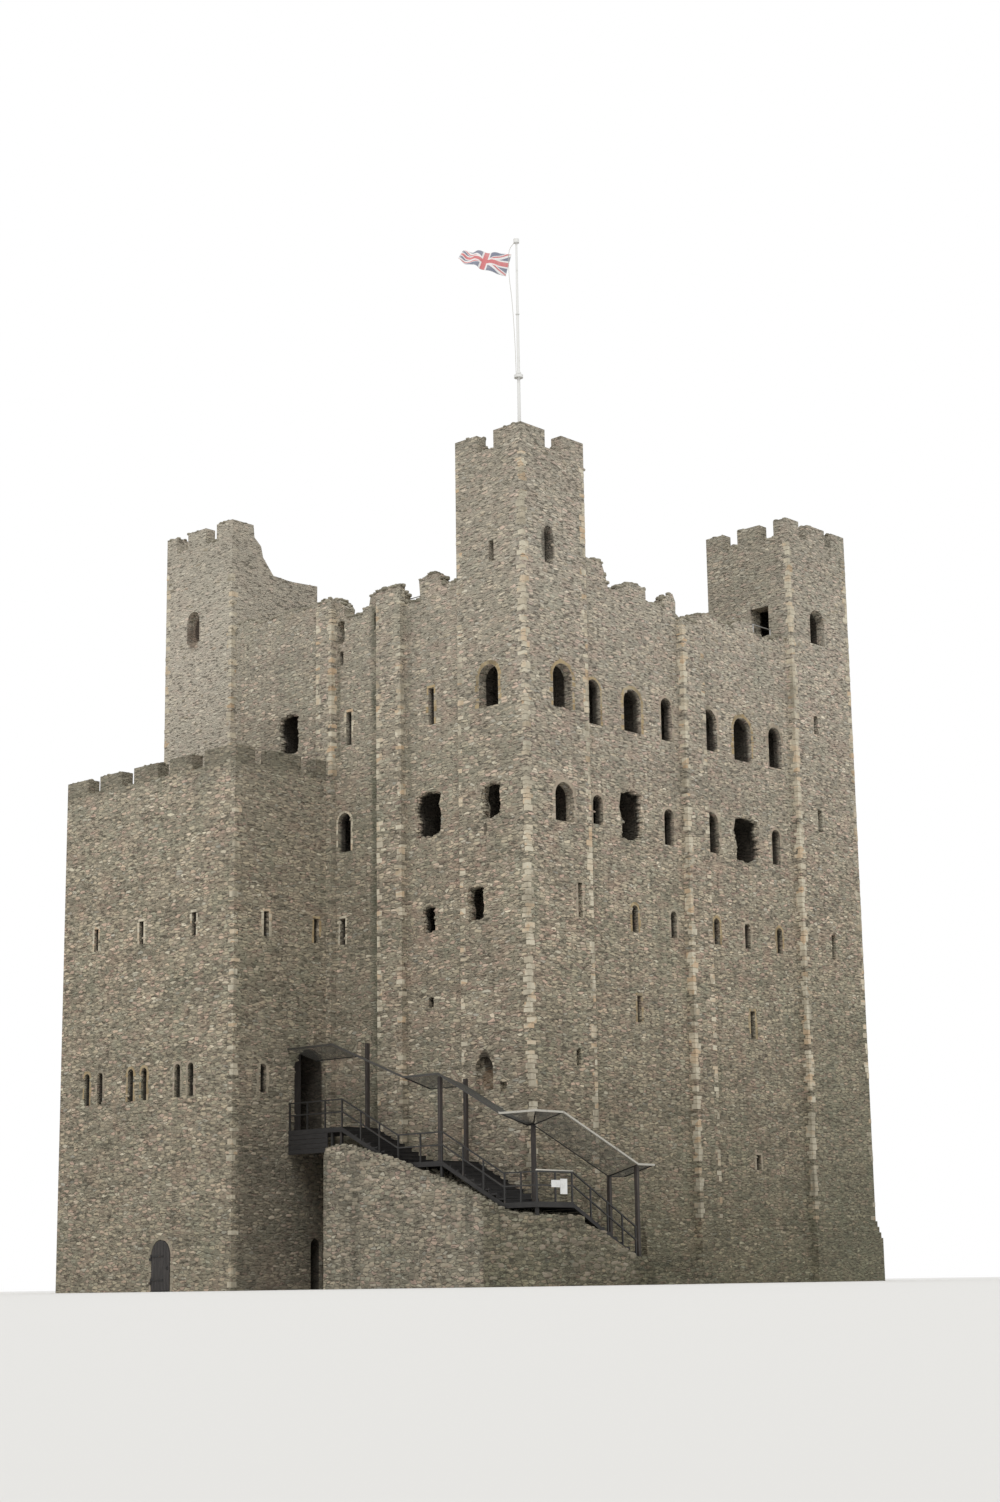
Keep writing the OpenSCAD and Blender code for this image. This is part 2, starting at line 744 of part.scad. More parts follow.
module tower_floors() {
  color(timber) {
    tower_floor_slab(60, 60);
    tower_floor_slab(floor_1_z, 160);
    tower_floor_slab(floor_2_z, 160);
    tower_floor_slab(fore_deck_z, 200);
  }
}

module tower_parapet() {
  t = fore_parapet_t;
  top = fore_crenel_z + fore_merlon_h;
  color(stone_dark) difference() {
    block(fore_e, fore_wx, fore_n, -wp, fore_deck_z, top);
    block(fore_e + t, fore_wx - t, fore_n + t, -wp + 10, fore_deck_z - 10, top + 10);
    translate([0, 0, fore_deck_z - 10]) linear_extrude(top) keep_plan();
    for (x = [-4814, -3701, -2544, -1479])
      block(x, x + fore_crenel_w, fore_n - 10, fore_n + t + 10, fore_crenel_z, top + 10);
    for (y = [-7210, -5995]) {
      block(fore_wx - t - 10, fore_wx + 10, y, y + fore_crenel_w, fore_crenel_z, top + 10);
      block(fore_e - 10, fore_e + t + 10, y, y + fore_crenel_w, fore_crenel_z, top + 10);
    }
  }
}

// ground door on two stacked hinges

hinge_x = door_x - door_w / 2;
hinge_y = fore_n - knuckle_r - 2;
hinge_zs = [190, 640];

module ground_door() {
  color([0.20, 0.15, 0.11]) {
    translate([door_x, fore_n, 12]) rotate([-90, 0, 0]) mirror([0, 1, 0])
      linear_extrude(door_t) arch_2d(door_w, door_h - 12);
  }
  color(steel) for (z = hinge_zs) {
    translate([hinge_x, hinge_y, z]) cylinder(r = knuckle_r, h = knuckle_h, $fn = 32);
    translate([hinge_x, fore_n - 10, z + 8]) cube([330, 11, knuckle_h - 16]);
    translate([hinge_x, hinge_y, z + 8]) cube([12, fore_n - hinge_y, knuckle_h - 16]);
  }
}

module door_hinges() {
  color(steel) for (z = hinge_zs) {
    translate([hinge_x, hinge_y, z - knuckle_h - 0.3])
      cylinder(r = knuckle_r, h = knuckle_h, $fn = 32);
    translate([hinge_x - 60, hinge_y, z - knuckle_h + 8])
      cube([60, fore_n - hinge_y, knuckle_h - 16]);
  }
}

module entrance_door() {
  color([0.14, 0.12, 0.10]) translate([fore_wx - 250, portal_y, floor_1_z]) rotate([90, 0, 90])
    linear_extrude(60) intersection() {
      arch_2d(portal_w, portal_h);
      translate([-portal_w / 2, 0]) square([portal_w * 0.42, portal_h]);
    }
}

// old stair base, heights along its outer face

north_top = [[base_e + 15, floor_1_z - 370], [base_e + 590, floor_1_z - 350],
  [mid_x0 + 40, mid_z + 75], [mid_x1 - 285, mid_z - 235], [corner_x0 - 750, corner_z + 210],
  [corner_x0 + 150, corner_z - 155], [base_out, corner_z - 245]];
west_top = [[-base_out, corner_z - 245], [-half + 75, corner_z - 335],
  [-half + 625, corner_z - 500], [foot_y - 260, foot_z + 70], [foot_y, foot_z - 50]];

module old_stair_base() {
  color(stone_dark) difference() {
    union() {
      intersection() {
        translate([0, -st_in + 365, 0]) rotate([90, 0, 0]) linear_extrude(base_w + 400)
          polygon(concat([[base_e, 0], [base_e, north_top[0][1] - 160], [base_e + 60, north_top[0][1]]],
            [for (i = [1:5]) north_top[i]], [[base_out, north_top[6][1]], [base_out, 0]]));
        block(base_e, base_out, -base_out, -wp, 0, 4000);
      }
      intersection() {
        translate([wp - 1, 0, 0]) rotate([90, 0, 90]) linear_extrude(base_w + 400)
          polygon([[-base_out, 0], [-base_out, west_top[0][1]], west_top[1], west_top[2],
            west_top[3], [foot_y, west_top[4][1]], [foot_y, 0]]);
        block(wp, base_out, -base_out, foot_y, 0, 4000);
      }
    }
    translate([0, 0, -10]) linear_extrude(5000) keep_plan();
    stair_room();
  }
}

// the space that the stair takes above the old base
module stair_room() {
  translate([0, -wp + 1, 0]) rotate([90, 0, 0]) linear_extrude(st_out + 5 - wp + 1)
    polygon([[base_e - 10, floor_1_z - deck_t], [fore_wx + platform_len, floor_1_z - deck_t],
      [mid_x0, mid_z - deck_t], [mid_x1, mid_z - deck_t], [corner_x0, corner_z - deck_t],
      [st_out + 5, corner_z - deck_t], [st_out + 5, 4500], [base_e - 10, 4500]]);
  translate([wp - 1, 0, 0]) rotate([90, 0, 90]) linear_extrude(st_out + 5 - wp + 1)
    polygon([[-st_in - 1, corner_z - deck_t - tread_t], [foot_y, foot_z - deck_t],
      [foot_y + 10, foot_z - deck_t], [foot_y + 10, 4500], [-st_in - 1, 4500]]);
}

module stone_steps() {
  color(stone_dark) {
    block(half, base_out, foot_y, foot_y + foot_len, 0, foot_z);
    for (i = [1:4]) block(base_out, base_out + i * foot_going, foot_y, foot_y + foot_len,
      0, foot_z * (5 - i) / 5);
  }
}

// modern stair: landings, flights, legs

function base_top(x) = lookup(x, north_top);

module stair_landings() {
  color(steel) {
    block(fore_wx, fore_wx + platform_len, -st_out, -st_in, floor_1_z - deck_t, floor_1_z);
    block(mid_x0, mid_x1, -st_out, -st_in, mid_z - deck_t, mid_z);
    block(corner_x0, st_out, -st_out, -st_in, corner_z - deck_t, corner_z);
    for (x = [corner_x0 + 60, st_out - 60]) difference() {
      leg(x, -st_out + 60, base_top(x) - 300, corner_z - deck_t);
      old_stair_base();
    }
  }
}

// a flight that climbs towards -X from z0 at x1 to z1 at x0
module flight(x0, x1, z0, z1, n) {
  going = (x1 - x0) / n;
  rise = (z1 - z0) / (n + 1);
  for (i = [1:n]) translate([x1 - i * going, -st_out + 30, z0 + i * rise - tread_t])
    cube([going + 0.5, stair_w - 60, tread_t]);
  for (y = [-st_out, -st_in - 30]) translate([0, y + 30, 0]) rotate([90, 0, 0])
    linear_extrude(30) polygon([[x0, z1 - deck_t], [x1, z0 - deck_t],
      [x1, z0], [x1 - going, z0 + rise], [x0, z1 - 0.2 * rise]]);
}

module upper_flight() {
  color(steel) flight(fore_wx + platform_len, mid_x0, mid_z, floor_1_z, 8);
}

module lower_flight() {
  color(steel) flight(mid_x1, corner_x0, corner_z, mid_z, 8);
}

module west_flight() {
  color(steel) rotate([0, 0, 90]) flight(-st_in, foot_y, foot_z, corner_z, 10);
}

module leg(x, y, z0, z1) { block(x - 25, x + 25, y - 25, y + 25, z0, z1); }

module stair_legs() {
  yo = -st_out + 60;
  yi = -st_in - 60;
  color(steel) difference() {
    union() {
      for (x = [base_e + 80, fore_wx + platform_len - 60]) for (y = [yo, yi])
        leg(x, y, base_top(x) - 300, floor_1_z - deck_t);
      for (x = [mid_x0 + 60, mid_x1 - 60]) for (y = [yo, yi])
        leg(x, y, base_top(x) - 300, mid_z - deck_t);
    }
    old_stair_base();
  }
}

// handrails: rails that follow the treads, on posts

// a strip of even height t along points [x, z], from y0 to y0 + w
module ribbon_x(pts, t, y0, w) {
  n = len(pts);
  translate([0, y0 + w, 0]) rotate([90, 0, 0]) linear_extrude(w)
    polygon(concat([for (p = pts) [p[0], p[1] + t / 2]],
      [for (i = [n - 1:-1:0]) [pts[i][0], pts[i][1] - t / 2]]));
}

// the same along points [y, z], from x0 to x0 + w
module ribbon_y(pts, t, x0, w) {
  n = len(pts);
  translate([x0, 0, 0]) rotate([90, 0, 90]) linear_extrude(w)
    polygon(concat([for (p = pts) [p[0], p[1] + t / 2]],
      [for (i = [n - 1:-1:0]) [pts[i][0], pts[i][1] - t / 2]]));
}

function lift(pts, h) = [for (p = pts) [p[0], p[1] + h]];

walk_x = [[fore_wx + 10, floor_1_z], [fore_wx + platform_len, floor_1_z], [mid_x0, mid_z],
  [mid_x1, mid_z], [corner_x0, corner_z], [st_out, corner_z]];
walk_y = [[-st_out, corner_z], [-st_in, corner_z], [foot_y, foot_z]];
rail_posts_x = [fore_wx + 20, fore_wx + 520, fore_wx + 1020, fore_wx + platform_len - 13,
  fore_wx + platform_len + flight_1_len / 3, fore_wx + platform_len + flight_1_len * 2 / 3,
  mid_x0, mid_x0 + mid_len / 2, mid_x1 - 30, mid_x1 + 500, mid_x1 + 1000, corner_x0 + 10,
  corner_x0 + 400, st_out - rail_t];
rail_posts_y = [-st_out + 480, -st_in - 40, -st_in + 450, -st_in + 900, -st_in + 1300,
  foot_y - 40];

module handrails() {
  color(steel) {
    for (h = [rail_h, rail_h * 0.55]) {
      ribbon_x(lift(walk_x, h), rail_t, -st_out, rail_t);
      ribbon_y(lift(walk_y, h), rail_t, st_out - rail_t, rail_t);
    }
    difference() {
      union() {
        for (x = rail_posts_x) block(x, x + rail_t, -st_out, -st_out + rail_t,
          lookup(x, walk_x) - 90, lookup(x + rail_t / 2, walk_x) + rail_h);
        for (y = rail_posts_y) block(st_out - rail_t, st_out, y, y + rail_t,
          lookup(y, walk_y) - 90, lookup(y + rail_t / 2, walk_y) + rail_h);
      }
      stair_landings();
      upper_flight();
      lower_flight();
      west_flight();
    }
  }
}

// canopy over the stair

can_in = st_out - canopy_w;
z_a = floor_1_z + canopy_h;
z_b = mid_z + canopy_h;
z_c = corner_z + canopy_h;
z_d = foot_z + canopy_h + 75;
canopy_x = [fore_wx + 5, fore_wx + platform_len - 240, mid_x0 + 180, mid_x1 - 60,
  corner_x0 - 40, st_out];
canopy_zx = [z_a, z_a, z_b, z_b, z_c, z_c];
canopy_y = [-st_out, -can_in, foot_y + 60, foot_y + 520];
canopy_zy = [z_c, z_c, z_d, z_d];

module panel_x(x0, z0, x1, z1, t) {
  hull() {
    for (p = [[x0, z0], [x1, z1]]) {
      translate([p[0] - 0.5, -st_out, p[1]]) cube([1, 1, t]);
      translate([p[0] - 0.5, -can_in - 1, p[1] - canopy_tilt]) cube([1, 1, t]);
    }
  }
}

module panel_y(y0, z0, y1, z1, t) {
  hull() {
    for (p = [[y0, z0], [y1, z1]]) {
      translate([st_out - 1, p[0] - 0.5, p[1]]) cube([1, 1, t]);
      translate([can_in, p[0] - 0.5, p[1] - canopy_tilt]) cube([1, 1, t]);
    }
  }
}

module canopy_mesh() {
  color([0.30, 0.30, 0.28]) {
    for (i = [0:3]) panel_x(canopy_x[i], canopy_zx[i], canopy_x[i + 1], canopy_zx[i + 1], panel_t);
    hull() {
      translate([corner_x0 - 40, -st_out, z_c]) cube([1, 1, panel_t]);
      translate([st_out - 1, -st_out, z_c]) cube([1, 1, panel_t]);
      translate([corner_x0 - 40, -can_in - 1, z_c - canopy_tilt]) cube([1, 1, panel_t]);
      translate([can_in, -can_in - 1, z_c - canopy_tilt]) cube([1, 1, panel_t]);
      translate([st_out - 1, -can_in - 1, z_c]) cube([1, 1, panel_t]);
    }
    for (i = [1:2]) panel_y(canopy_y[i], canopy_zy[i], canopy_y[i + 1], canopy_zy[i + 1], panel_t);
  }
}

module canopy_edges() {
  color([0.62, 0.60, 0.55]) {
    ribbon_x([for (i = [0:5]) [canopy_x[i], canopy_zx[i] + panel_t / 2]], edge_t,
      -st_out - edge_t - 0.3, edge_t);
    ribbon_y([for (i = [0:3]) [canopy_y[i], canopy_zy[i] + panel_t / 2]], edge_t,
      st_out + 0.3, edge_t);
    block(st_out - 1, st_out + 0.3 + edge_t, -st_out - 0.3 - edge_t, -st_out - 0.3,
      z_c + panel_t / 2 - edge_t / 2, z_c + panel_t / 2 + edge_t / 2);
    block(st_out + 0.3, st_out + 0.3 + edge_t, -st_out - 1, -st_out + 1,
      z_c + panel_t / 2 - edge_t / 2, z_c + panel_t / 2 + edge_t / 2);
  }
}

module canopy_post(x, y, z0, z1) {
  block(x - post_t / 2, x + post_t / 2, y - post_t / 2, y + post_t / 2, z0, z1);
}

module canopy_posts() {
  c = [0.24, 0.18, 0.15];
  yi = -can_in + post_t / 2;
  color(c) {
    canopy_post(fore_wx + platform_len - 60, yi, floor_1_z, z_a + 60);
    canopy_post(mid_x1 - 140, -st_out + 70 + post_t / 2, mid_z, z_b - canopy_tilt * (70 + post_t) / canopy_w);
    canopy_post(mid_x1 - 100, yi, mid_z, z_b - canopy_tilt + 130);
    canopy_post(can_in - post_t / 2, yi, corner_z, z_c - canopy_tilt + 20);
    canopy_post(can_in - post_t / 2, foot_y + 120, foot_z, z_d - canopy_tilt + 20);
    canopy_post(st_out - 40 - post_t / 2, foot_y + 120, foot_z, z_d - canopy_tilt * (40 + post_t) / canopy_w);
  }
}

// flagpole

module flagpole() {
  color([0.85, 0.85, 0.84]) {
    translate([pole_x, pole_y, deck_z]) cylinder(r1 = pole_r, r2 = pole_r_top,
      h = pole_top_z - deck_z - 60, $fn = 32);
    translate([pole_x, pole_y, pole_top_z - 80]) cylinder(r = cap_r, h = 80, $fn = 32);
  }
  color([0.30, 0.26, 0.22]) {
    translate([pole_x, pole_y, collar_z]) cylinder(r = 90, h = 60, $fn = 32);
    translate([pole_x - 90, pole_y - 90, deck_z]) cube([180, 180, 120]);
  }
}

halyard_x = pole_x - 48 * cos(40);
halyard_y = pole_y - 48 * sin(40);

module halyard() {
  color([0.75, 0.73, 0.68]) translate([halyard_x, halyard_y, collar_z + 60])
    cylinder(r = halyard_r, h = pole_top_z - 80 - collar_z - 60, $fn = 16);
}

module flag() {
  color([0.45, 0.42, 0.50]) translate([halyard_x, halyard_y, pole_top_z - 330 - flag_h])
    rotate([0, 0, 220]) translate([halyard_r, -flag_t / 2, 0]) cube([flag_len, flag_t, flag_h]);
}

keep_ground_floor();
plinth();
north_wall();
west_wall();
south_wall();
east_wall();
nw_turret();
ne_turret();
sw_turret();
se_turret();
nw_turret_top();
ne_turret_top();
sw_turret_top();
se_turret_top();
north_parapet();
west_parapet();
south_parapet();
east_parapet();
entrance_floor();
second_floor();
third_floor();
gallery_floor();
tower_wall_beside_door();
tower_wall_east_part();
tower_wall_over_door();
tower_west_wall();
tower_east_wall();
tower_floors();
tower_parapet();
ground_door();
door_hinges();
entrance_door();
old_stair_base();
stone_steps();
stair_landings();
upper_flight();
lower_flight();
west_flight();
stair_legs();
handrails();
canopy_posts();
canopy_mesh();
canopy_edges();
flagpole();
halyard();
flag();
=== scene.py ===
import math
import random

import bpy
from mathutils import Matrix, Vector
from mathutils.bvhtree import BVHTree


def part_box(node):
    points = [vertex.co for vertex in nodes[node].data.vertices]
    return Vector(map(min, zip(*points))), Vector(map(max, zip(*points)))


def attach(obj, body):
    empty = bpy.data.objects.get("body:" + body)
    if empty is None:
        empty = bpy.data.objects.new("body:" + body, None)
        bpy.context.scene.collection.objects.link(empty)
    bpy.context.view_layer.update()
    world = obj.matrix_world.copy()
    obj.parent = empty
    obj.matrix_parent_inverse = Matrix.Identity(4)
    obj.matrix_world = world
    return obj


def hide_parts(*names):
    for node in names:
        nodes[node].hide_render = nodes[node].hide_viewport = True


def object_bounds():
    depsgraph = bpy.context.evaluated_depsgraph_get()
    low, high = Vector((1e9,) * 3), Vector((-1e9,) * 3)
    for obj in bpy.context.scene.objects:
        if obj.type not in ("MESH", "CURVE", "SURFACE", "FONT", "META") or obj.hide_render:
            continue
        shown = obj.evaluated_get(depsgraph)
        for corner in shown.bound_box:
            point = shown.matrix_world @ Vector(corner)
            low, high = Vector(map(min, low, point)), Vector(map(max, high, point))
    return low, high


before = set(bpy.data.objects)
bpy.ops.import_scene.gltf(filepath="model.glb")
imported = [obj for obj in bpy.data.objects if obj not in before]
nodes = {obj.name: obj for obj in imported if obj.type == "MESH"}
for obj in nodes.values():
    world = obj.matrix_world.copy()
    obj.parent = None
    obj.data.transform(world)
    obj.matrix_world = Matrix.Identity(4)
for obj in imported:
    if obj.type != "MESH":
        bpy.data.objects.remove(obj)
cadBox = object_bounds()
print("keep: frame loaded,", len(nodes), "nodes")


cameraFacts = {"place": (34.78, -37.55, 0.05), "yaw": 43.06, "pitch": 12.52, "roll": -0.85, "lens": 57.53}


def addCamera(facts):
    bpy.ops.object.camera_add(location=facts["place"])
    eye = bpy.context.object
    eye.name = "viewingCamera"
    eye.data.lens = facts["lens"]
    eye.data.sensor_width = 36
    eye.data.clip_end = 500
    turn = Matrix.Rotation(math.radians(facts["yaw"]), 4, "Z")
    turn = turn @ Matrix.Rotation(math.radians(90 + facts["pitch"]), 4, "X")
    turn = turn @ Matrix.Rotation(math.radians(facts["roll"]), 4, "Z")
    eye.matrix_world = Matrix.Translation(facts["place"]) @ turn
    bpy.context.scene.camera = eye


class Tone:
    # one output of a shader tree, so that sums on it read like ordinary sums
    def __init__(self, bench, socket):
        self.bench = bench
        self.socket = socket

    def sum(self, operation, *values):
        return self.bench.add("ShaderNodeMath", {"operation": operation}, dict(enumerate(values)))

    def __add__(self, other):
        return self.sum("ADD", self, other)

    def __radd__(self, other):
        return self.sum("ADD", other, self)

    def __sub__(self, other):
        return self.sum("SUBTRACT", self, other)

    def __rsub__(self, other):
        return self.sum("SUBTRACT", other, self)

    def __mul__(self, other):
        return self.sum("MULTIPLY", self, other)

    def __rmul__(self, other):
        return self.sum("MULTIPLY", other, self)

    def __truediv__(self, other):
        return self.sum("DIVIDE", self, other)

    def __gt__(self, other):
        return self.sum("GREATER_THAN", self, other)

    def __lt__(self, other):
        return self.sum("LESS_THAN", self, other)

    def size(self):
        return self.sum("ABSOLUTE", self)

    def part(self):
        return self.sum("FRACT", self)

    def larger(self, other):
        return self.sum("MAXIMUM", self, other)

    def smaller(self, other):
        return self.sum("MINIMUM", self, other)

    def step(self, low, high):
        # 0 below low, 1 above high, soft between
        return self.bench.add("ShaderNodeMapRange", {"interpolation_type": "SMOOTHSTEP"},
                              {"Value": self, "From Min": low, "From Max": high})

    def output(self, name):
        return Tone(self.bench, self.socket.node.outputs[name])


class Bench:
    # the shader tree of one material or world
    def __init__(self, name, world=None):
        self.material = world or bpy.data.materials.new(name)
        self.material.use_nodes = True
        self.tree = self.material.node_tree
        self.tree.nodes.clear()

    def add(self, kind, settings, values, out=0):
        made = self.tree.nodes.new(kind)
        for key, value in settings.items():
            if key == "stops":
                ramp = made.color_ramp
                while len(ramp.elements) < len(value):
                    ramp.elements.new(0.5)
                for element, (place, colour) in zip(ramp.elements, value):
                    element.position = place
                    element.color = colour
            elif key == "blend":
                made.color_ramp.interpolation = value
            else:
                setattr(made, key, value)
        for key, value in values.items():
            socket = made.inputs[key]
            if isinstance(value, Tone):
                self.tree.links.new(value.socket, socket)
            else:
                socket.default_value = value
        return Tone(self, made.outputs[out]) if len(made.outputs) else None

    def place(self, scale=(1, 1, 1), shift=(0, 0, 0), source="Object"):
        point = self.add("ShaderNodeTexCoord", {}, {}, source)
        return self.add("ShaderNodeMapping", {}, {"Vector": point, "Scale": scale, "Location": shift})

    def noise(self, where, scale, detail=3.0, rough=0.55, out=0):
        return self.add("ShaderNodeTexNoise", {}, {"Vector": where, "Scale": scale, "Detail": detail,
                                                   "Roughness": rough}, out)

    def cells(self, where, loose=1.0, feature="F1", out="Color"):
        return self.add("ShaderNodeTexVoronoi", {"feature": feature},
                        {"Vector": where, "Scale": 1.0, "Randomness": loose}, out)

    def blend(self, factor, first, second, mode="MIX"):
        return self.add("ShaderNodeMix", {"data_type": "RGBA", "blend_type": mode},
                        {0: factor, 6: first, 7: second}, 2)

    def tint(self, colour, tone):
        return self.blend(1.0, colour, tone, "MULTIPLY")

    def vector(self, operation, first, second):
        return self.add("ShaderNodeVectorMath", {"operation": operation}, {0: first, 1: second})

    def axes(self, where):
        split = self.add("ShaderNodeSeparateXYZ", {}, {"Vector": where}, "X")
        return split, split.output("Y"), split.output("Z")

    def channels(self, colour):
        split = self.add("ShaderNodeSeparateColor", {}, {"Color": colour}, "Red")
        return split, split.output("Green"), split.output("Blue")

    def ramp(self, factor, stops, blend="LINEAR"):
        return self.add("ShaderNodeValToRGB", {"stops": [(p, (*c, 1)) for p, c in stops], "blend": blend},
                        {"Fac": factor})

    def bump(self, height, distance, strength=1.0):
        return self.add("ShaderNodeBump", {}, {"Height": height, "Distance": distance, "Strength": strength})

    def surface(self, **sockets):
        names = {key.replace("_", " "): value for key, value in sockets.items()}
        shader = self.add("ShaderNodeBsdfPrincipled", {}, names)
        self.add("ShaderNodeOutputMaterial", {}, {"Surface": shader})
        return self.material


lightFacts = {"sky": (1.0, 0.995, 0.98, 1), "skyStrength": 0.80, "sunStrength": 1.55, "sunSoft": 28.0,
              "sunHeight": 52.0, "sunSide": 38.0, "floor": (0.66, 0.655, 0.64, 1)}


def addLight(facts):
    world = bpy.data.worlds.new("paleSky")
    bpy.context.scene.world = world
    bench = Bench("paleSky", world)
    path = bench.add("ShaderNodeLightPath", {}, {}, "Is Camera Ray")
    seen = path.larger(path.output("Is Glossy Ray")).larger(path.output("Is Transmission Ray"))
    light = bench.add("ShaderNodeBackground", {}, {"Color": facts["sky"], "Strength": facts["skyStrength"]})
    white = bench.add("ShaderNodeBackground", {}, {"Color": (1, 1, 1, 1), "Strength": 1.0})
    both = bench.add("ShaderNodeMixShader", {}, {0: seen, 1: light, 2: white})
    bench.add("ShaderNodeOutputWorld", {}, {"Surface": both})
    side, height = math.radians(facts["sunSide"]), math.radians(facts["sunHeight"])
    bpy.ops.object.light_add(type="SUN")
    sun = bpy.context.object
    sun.name = "softSun"
    sun.data.energy = facts["sunStrength"]
    sun.data.angle = math.radians(facts["sunSoft"])
    toSun = Vector((math.sin(side) * math.cos(height), -math.cos(side) * math.cos(height), math.sin(height)))
    sun.rotation_mode = "QUATERNION"
    sun.rotation_quaternion = toSun.to_track_quat("Z", "Y")
    bpy.ops.mesh.primitive_plane_add(size=900, location=(0, 0, -0.002))
    floor = bpy.context.object
    floor.name = "paleFloor"
    floor.data.materials.append(Bench("floorPale").surface(Base_Color=facts["floor"], Roughness=0.95))


bpy.context.scene.view_settings.view_transform = "Standard"
addCamera(cameraFacts)
addLight(lightFacts)
print("keep: camera, light and floor stand")


# painted shade of hollows and broken recesses of the keep that the faces don't cut, some of it brown:
# axis that crosses the wall, its value, place along it, height, half width, half height, strength and colour
paintedHollowShade = [("y", -5.325, 4.16, 4.07, 0.15, 0.22, 0.85, (0.030, 0.024, 0.018)),
           ("y", -5.325, 4.16, 3.74, 0.20, 0.22, 0.60, (0.120, 0.070, 0.038)),
           ("y", -5.325, 4.26, 8.42, 0.05, 0.13, 0.70, (0.050, 0.040, 0.030)),
           ("x", 5.325, -4.60, 13.93, 0.21, 0.40, 0.62, (0.048, 0.040, 0.032)),
           ("y", -5.325, -4.393, 13.96, 0.24, 0.42, 0.72, (0.105, 0.066, 0.045)),
           ("y", -5.325, -4.40, 14.02, 0.13, 0.26, 0.80, (0.042, 0.032, 0.026))]
rubbleTones = {
    "stones": [(0.0, (0.150, 0.130, 0.100)), (0.10, (0.205, 0.185, 0.140)), (0.26, (0.275, 0.240, 0.180)),
               (0.46, (0.300, 0.258, 0.190)), (0.60, (0.240, 0.228, 0.176)), (0.72, (0.325, 0.262, 0.196)),
               (0.84, (0.320, 0.235, 0.190)), (0.93, (0.400, 0.365, 0.285)), (1.0, (0.250, 0.240, 0.205))],
    "bright": [(0.0, (0.62, 0.62, 0.61)), (0.35, (0.92, 0.92, 0.92)), (1.0, (1.42, 1.40, 1.36))],
    "mortar": [(0.3, (0.120, 0.105, 0.078)), (0.7, (0.290, 0.255, 0.195))],
    "lifts": [(0.34, (0.80, 0.80, 0.80)), (0.66, (1.20, 1.20, 1.20))],
    "westPaintedLight": [(0.0, (0.60, 0.62, 0.56)), (0.16, (0.80, 0.80, 0.77)), (0.34, (1.02, 1.02, 1.01)),
                 (0.6, (1.11, 1.11, 1.13))],
    "brown": (0.290, 0.205, 0.155, 1), "green": (0.190, 0.205, 0.145, 1), "streak": (0.092, 0.086, 0.064, 1),
    "pale": (0.440, 0.410, 0.350, 1), "farGreen": (0.120, 0.122, 0.085, 1), "eastPale": (0.47, 0.43, 0.36, 1),
    "pits": (0.058, 0.050, 0.038, 1), "towerCap": (0.105, 0.098, 0.072, 1), "keepCap": (0.150, 0.140, 0.105, 1),
    "dampAndShade": (0.082, 0.084, 0.058, 1), "unlit": (0.034, 0.029, 0.024, 1)}
stoneFacts = {
    "keep": {"stones": (7.0, 7.0, 19.0), "tint": (1.31, 1.31, 1.32), "green": 0.34, "pits": -0.004,
             "brown": 0.42, "streak": 0.22, "pale": 0.28},
    "tower": {"stones": (6.8, 6.8, 18.5), "tint": (1.28, 1.28, 1.275), "green": 0.36, "pits": 0.0,
              "brown": 0.34, "streak": 0.28, "pale": 0.32},
    "base": {"stones": (7.6, 7.6, 17.0), "tint": (1.16, 1.17, 1.20), "green": 0.26, "pits": -0.01,
             "brown": 0.14, "streak": 0.80, "pale": 0.0},
}
# painted shade and damp stain in the corners beside the pilasters of the north side and on the wall between the
# tower and the first pilaster: place, half width, strength, lowest, highest
dampShadeStrips = [(0.62, 0.90, 0.26, 2.2, 9.9), (1.13, 0.17, 0.74, 2.4, 13.7), (-0.56, 0.09, 0.50, 10.2, 13.6),
              (0.07, 0.07, 0.46, 10.2, 13.6), (2.10, 0.10, 0.28, 6.0, 13.3), (-3.02, 0.09, 0.30, 10.2, 14.0)]
# unlit rooms in the turret tops: east, west, north and south
turretRooms = [(3.90, 5.14, -5.14, -3.83), (-5.14, -3.45, -5.14, -3.18), (3.42, 5.14, 3.52, 5.14),
               (-5.14, -3.42, 3.52, 5.14)]


def shadeInsideKeep(x, y, z):
    # painted shade: the stone behind the faces of the keep and inside its turret rooms is darkened as if unlit
    out = x.size().larger(y.size())
    dark = (1 - out.step(5.04, 5.15)) * (1 - z.step(12.60, 12.70))
    for left, right, front, back in turretRooms:
        room = x.step(left, left + 0.03) * (1 - x.step(right - 0.03, right))
        room = room * y.step(front, front + 0.03) * (1 - y.step(back - 0.03, back))
        dark = dark.larger(room * z.step(12.74, 12.80) * (1 - z.step(15.08, 15.12)))
    return dark


# painted shade inside the tower's room, and on its west face in the corner against the keep, darker towards the
# foot
def shadeOfTower(x, y, z):
    room = (1 - x.step(-0.27, -0.19)) * x.step(-5.46, -5.40) * y.step(-7.69, -7.63) * (1 - z.step(9.5, 9.6))
    low = x.step(-0.24, -0.18) * y.step(-7.66, -7.5) * (1 - z.step(2.0, 4.4)) * 0.42
    side = x.step(-0.24, -0.18) * y.step(-7.66, -7.5) * 0.10
    return room.larger(low + side)


